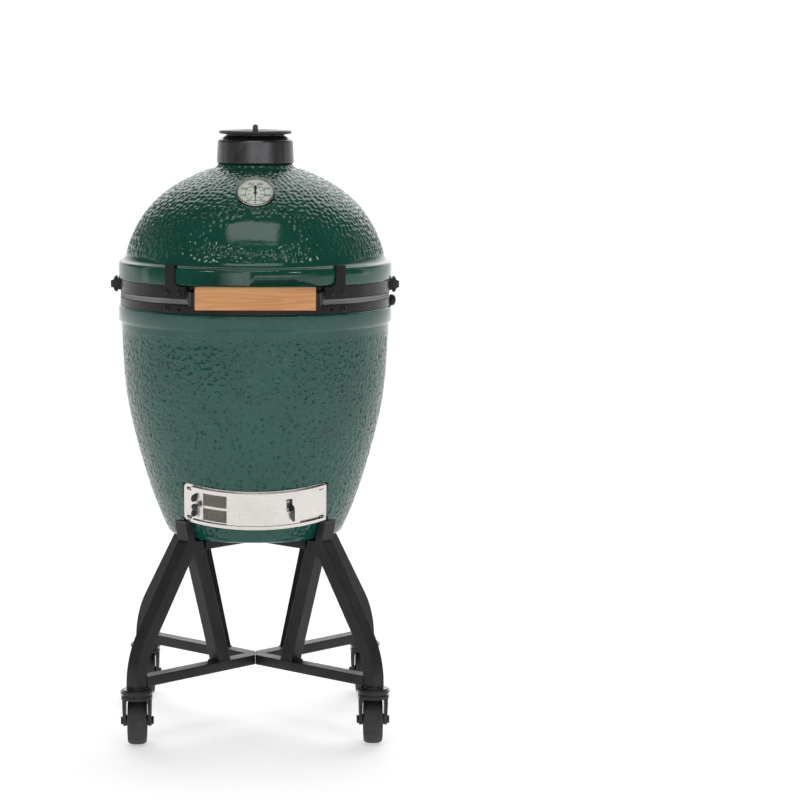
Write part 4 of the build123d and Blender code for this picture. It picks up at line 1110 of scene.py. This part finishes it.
def build_screen_knob(surface):
    """Black knob on its S-shaped strap, between two half-round tabs."""
    points = node_points("screen_slider")
    low, high = extent_between(points, surface + 14.2 * MM)
    angle, reach, radius = (low[0] + high[0]) / 2, high[1] - surface, (high[2] - low[2]) / 2
    place = door_matrix(angle, surface, 0)
    head = ((0.72, 0.46), (0.97, 0.56), (1, 0.70), (0.96, 0.84), (0.78, 0.95), (0.4, 0.995))
    outline = [(2.6 * MM, 0), (2.6 * MM, reach * 0.42), *((radius * wide, reach * far) for wide, far in head),
               (0.3 * MM, reach)]
    knob = lathe(outline, 40, place=place)
    build_piece("screen_knob", [knob], "door_black", "draft_screen", "cap_black", smooth_angle=50)
    low, high = extent_between(points, surface + 0.5 * MM, surface + 2.2 * MM)
    build_knob_strap(low[2], high[2], place)
    build_screen_tabs(angle, surface)


def build_knob_strap(bottom, top, place):
    """The knob's flat strap, bowed like an S."""
    half = 2.6 * MM
    strip = [(half * sin(tau * share), bottom + (top - bottom) * share) for share in np.linspace(0, 1, 25)]
    outline = [(x - half, y) for x, y in strip] + [(x + half, y) for x, y in reversed(strip)]
    strap = prism(outline, -0.2 * MM, 1.5 * MM, place)
    build_piece("knob_strap", [strap], "bezel_steel", "draft_screen", "stainless", rounding=0.35 * MM)


def build_screen_tabs(angle, surface):
    """Half-round tabs above and below the knob, a little further from the middle than the knob is."""
    half, reach = 7.4 * MM, 13.2 * MM
    blade = [(-half, -0.2 * MM), *arc((0, reach - half), (half, half), 180, 0, 13), (half, -0.2 * MM)]
    tabs = []
    for middle in (15.5 * MM, -16 * MM):
        tab_place = door_matrix(angle + radians(1.6 if angle > 0 else -1.6), surface, middle)
        tabs.append(prism(blade[::-1], -1.4 * MM, 1.4 * MM, standing(tab_place)))
    build_piece("screen_tabs", tabs, "door_black", "draft_screen", "cap_black", rounding=0.4 * MM)


def build_frame_screws():
    heads = []
    for points, _, _ in islands("draft_frame_screws"):
        low, high = door_extent(points)
        place = door_matrix((low[0] + high[0]) / 2, low[1], (low[2] + high[2]) / 2)
        heads.append(button_head((high[2] - low[2]) / 2, high[1] - low[1], 1.1 * MM, place))
    build_piece("frame_screws", heads, "bezel_steel", "root", "stainless", "draft_frame_screws")


# ---- stand and casters

def weld_bead(centre, along, up, half_width, half_height, bead):
    """Closed rippled bead round a rectangular tube's end."""
    across = Vector(along).cross(Vector(up)).normalized()
    up = Vector(up).normalized()
    corner = 3.0 * MM
    path = []
    for sign_x, sign_y, start in ((1, 1, 0), (-1, 1, 90), (-1, -1, 180), (1, -1, 270)):
        middle = (sign_x * (half_width - corner), sign_y * (half_height - corner))
        path += arc(middle, (corner, corner), start, start + 90, 4)
    points = []
    for (x, y), (next_x, next_y) in zip(path, path[1:] + path[:1]):
        pieces = max(int(hypot(next_x - x, next_y - y) / (1.1 * MM)), 1)
        for share in np.arange(pieces) / pieces:
            right, above = x + (next_x - x) * share, y + (next_y - y) * share
            points.append(Vector(centre) + across * right + up * above)
    radii = [bead * (1 + 0.16 * sin(index * 1.9) + 0.05 * rng.uniform(-1, 1)) for index in range(len(points))]
    return tube(points, radii, 8, closed=True)


def cross_beads(node, half_tube, inset, bead):
    """Beads round the four ends of a node's crossed bars."""
    low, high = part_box(node)
    reach = high.x * sqrt(2) - half_tube - inset
    beads = []
    for turn in (45, 135, 225, 315):
        out = Vector((cos(radians(turn)), sin(radians(turn)), 0))
        centre = out * reach + Vector((0, 0, (low.z + high.z) / 2))
        beads.append(weld_bead(centre, out, (0, 0, 1), half_tube, (high.z - low.z) / 2, bead))
    return beads


def build_weld_beads():
    half_tube = 15 * MM
    beads = cross_beads("base_bars", half_tube, 0, 1.9 * MM)
    for points, _, _ in islands("inner_struts"):
        foot = points[points[:, 2] < points[:, 2].min() + 0.5 * MM]
        middle = Vector((foot.min(0) + foot.max(0)) / 2)
        out = Vector((middle.x, middle.y, 0)).normalized()
        beads.append(weld_bead(middle, (0, 0, 1), out, half_tube, np.ptp(foot @ np.array(out)) / 2, 1.9 * MM))
    beads += cross_beads("top_bars", half_tube, 1.5 * MM, 1.7 * MM)
    build_piece("weld_beads", beads, "stand_grey", "root", "stand_grey", smooth_angle=80)


def build_tyre(corner):
    """Soft tyre with rounded shoulders, a mould line and a groove beside the core."""
    low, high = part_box(f"tyre_{corner}")
    core_low, core_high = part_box(f"wheel_core_{corner}")
    outer, half, core = (high.z - low.z) / 2, (high.x - low.x) / 2, (core_high.z - core_low.z) / 2
    wall = core + 4.6 * MM
    groove = ((0.1, 2.0), (1.6, 0.6), (3.0, 0.5), (3.5, 1.1), (4.0, 0.5))
    side = [(core + out * MM, deep * MM - half) for out, deep in groove]
    side += arc((wall, 0), (outer - wall, half), -84, -6, 14, (0.78, 0.78))
    seam = [(outer, -0.6 * MM), (outer, 0.6 * MM)]
    outline = side + seam + [(radius, -height) for radius, height in reversed(side)]
    ring = lathe(outline, 96, closed=True, place=axes_matrix((low + high) / 2, (1, 0, 0)))
    build_piece(f"rubber_tyre_{corner}", [ring], "tyre_rubber", f"wheel_{corner}", "tyre_rubber",
                f"tyre_{corner}", smooth_angle=40)


def each_corner(part):
    return [f"{part}_{corner}" for corner in corners]


def finish_plain_parts():
    """The CAD nodes that are shown as they are."""
    bands = ("lower_band", "upper_band_front", "upper_band_rear", "front_strap", "hook_bracket_left",
             "hook_bracket_right", "lower_hinge_bracket", "upper_hinge_bracket")
    plain_part("band_black", bands, 0.5 * MM)
    plain_part("wood", ["wood_handle"])
    plain_part("spring_steel", ["hinge_pin"], 0.6 * MM)
    plain_part("cap_metal", ["cap_body"], 0.7 * MM, 3, 20)
    plain_part("cap_black", ["vent_plate"], 0.25 * MM)
    plain_part("cap_black", ["damper_disc"], 0.5 * MM)
    plain_part("spring_steel", ["cap_pivot_pin"])
    plain_part("dial_white", ["thermometer_dial"])
    plain_part("cover_glass", ["thermometer_glass"])
    plain_part("bezel_steel", ["thermometer_case"], 0.4 * MM)
    plain_part("stainless", ["draft_frame"], 0.3 * MM)
    plain_part("stand_grey", ["top_bars", "base_bars", "inner_struts", *each_corner("leg")], 1.8 * MM, 3, 50)
    plain_part("cap_plastic", ["cradle_caps"], 0.8 * MM)
    plain_part("caster_black", ["caster_races"], 0.9 * MM, 3)
    plain_part("caster_black", each_corner("caster_fork") + each_corner("brake_pedal"), 0.7 * MM)
    plain_part("wheel_core", each_corner("wheel_core"), 0.7 * MM)
    plain_part("fireclay", ["fire_box", "fire_ring"], 1.6 * MM, 3, 50)
    plain_part("cast_iron", ["fire_grate"])
    plain_part("grid_steel", ["cooking_grid"])


# ---- stage

def build_floor():
    """Plain pale floor; its front edge is far enough forward to lie behind the camera."""
    reach, front = 60, -9.9
    outline = [(-reach, front, 0), (reach, front, 0), (reach, reach, 0), (-reach, reach, 0)]
    mesh = new_mesh("floor", outline, [(0, 1, 2, 3)])
    floor = new_object("floor", mesh)
    Finish("pale_floor").connect(Base_Color=(0.84, 0.84, 0.84), Roughness=0.9, Specular_IOR_Level=0.1,
                                 Emission_Color=(1, 1, 1), Emission_Strength=0.48)
    mesh.materials.append(finishes["pale_floor"])


def build_surroundings():
    """A studio that is bright above and behind and darker in front, with a pale card at the front."""
    world = bpy.data.worlds.new("studio")
    bpy.context.scene.world = world
    world.use_nodes = True
    sky = Nodes(world.node_tree)
    direction = sky.add("TexCoord").outputs["Generated"]
    across, ahead, up = (sky.axis(direction, letter) for letter in "XYZ")
    bank = sky.remap(sky.dot(direction, (0.10, 0.72, 0.68)), 0, 1, 0.72, 0.90)
    behind = sky.remap(ahead, 0, 1, 0.70, 0.92)
    horizon = sky.remap(up, 1, 0, 0.09, 0.20)
    beside = sky.remap(ahead, 0, 1, 0.30, 0.62)
    wall = sky.math("MAXIMUM", behind, sky.product(horizon, beside))
    card = sky.product(sky.remap(up, 0, 1, -0.052, -0.040), sky.remap(up, 1, 0, 0.05, 0.16),
                       sky.remap(across, 0, 1, -0.52, -0.30), sky.remap(across, 1, 0, 0.55, 0.85),
                       sky.remap(ahead, 1, 0, -0.5, -0.3))
    light = sky.blend((0.10, 0.10, 0.102), (wall, (1.06, 1.06, 1.06)), (bank, (2.2, 2.2, 2.2)),
                      (card, (2.0, 2.0, 2.0)))
    background = sky.tree.nodes["Background"]
    sky.feed(background.inputs["Color"], light)
    background.inputs["Strength"].default_value = 1.0


def softbox(name, place, aim_height, width, height, power):
    """A rectangular lamp that the camera doesn't see, aimed at a height on the grill's axis."""
    lamp = bpy.data.lights.new(name, "AREA")
    lamp.shape = "RECTANGLE"
    lamp.size, lamp.size_y = width, height
    lamp.energy = power
    box = new_object(name, lamp)
    box.location = place
    box.visible_camera = False
    box.rotation_euler = (Vector((0, 0, aim_height)) - Vector(place)).to_track_quat("-Z", "Y").to_euler()


def build_lights():
    softbox("front_high", (-0.1, -1.9, 3.5), 0.9, 2.2, 1.3, 19)
    softbox("front_left", (-2.2, -2.6, 2.3), 0.9, 0.5, 0.5, 9)
    softbox("front_right", (2.1, -2.8, 2.2), 0.9, 0.45, 0.45, 7)
    softbox("front_low", (-0.6, -4.6, 2.5), 0.8, 0.6, 0.45, 9)
    softbox("left_strip", (-2.9, 0.6, 1.7), 0.9, 0.5, 2.0, 2)
    softbox("right_strip", (2.9, 0.8, 1.6), 0.8, 0.5, 2.0, 2)


def build_camera():
    """The viewing angle: level with the dome, looking a little down, the grill left of centre."""
    data = bpy.data.cameras.new("camera")
    data.lens = 130.7
    data.sensor_width = 36
    data.clip_end = 200
    eye = new_object("camera", data)
    pitch, yaw, roll = radians(6.62), radians(2.87), radians(0.33)
    eye.matrix_world = (Matrix.Translation((0, -5.874, 1.346)) @ Matrix.Rotation(-yaw, 4, "Z")
                        @ Matrix.Rotation(pi / 2 - pitch, 4, "X") @ Matrix.Rotation(roll, 4, "Z"))
    bpy.context.scene.camera = eye
    bpy.context.scene.view_settings.view_transform = "Standard"


make_finishes()
build_camera()
build_floor()
build_surroundings()
build_lights()
build_egg()
build_fittings()
build_thermometer()
build_pull(build_panel())
build_screen_knob(build_screen())
build_frame_screws()
build_weld_beads()
for corner in corners:
    build_tyre(corner)
finish_plain_parts()
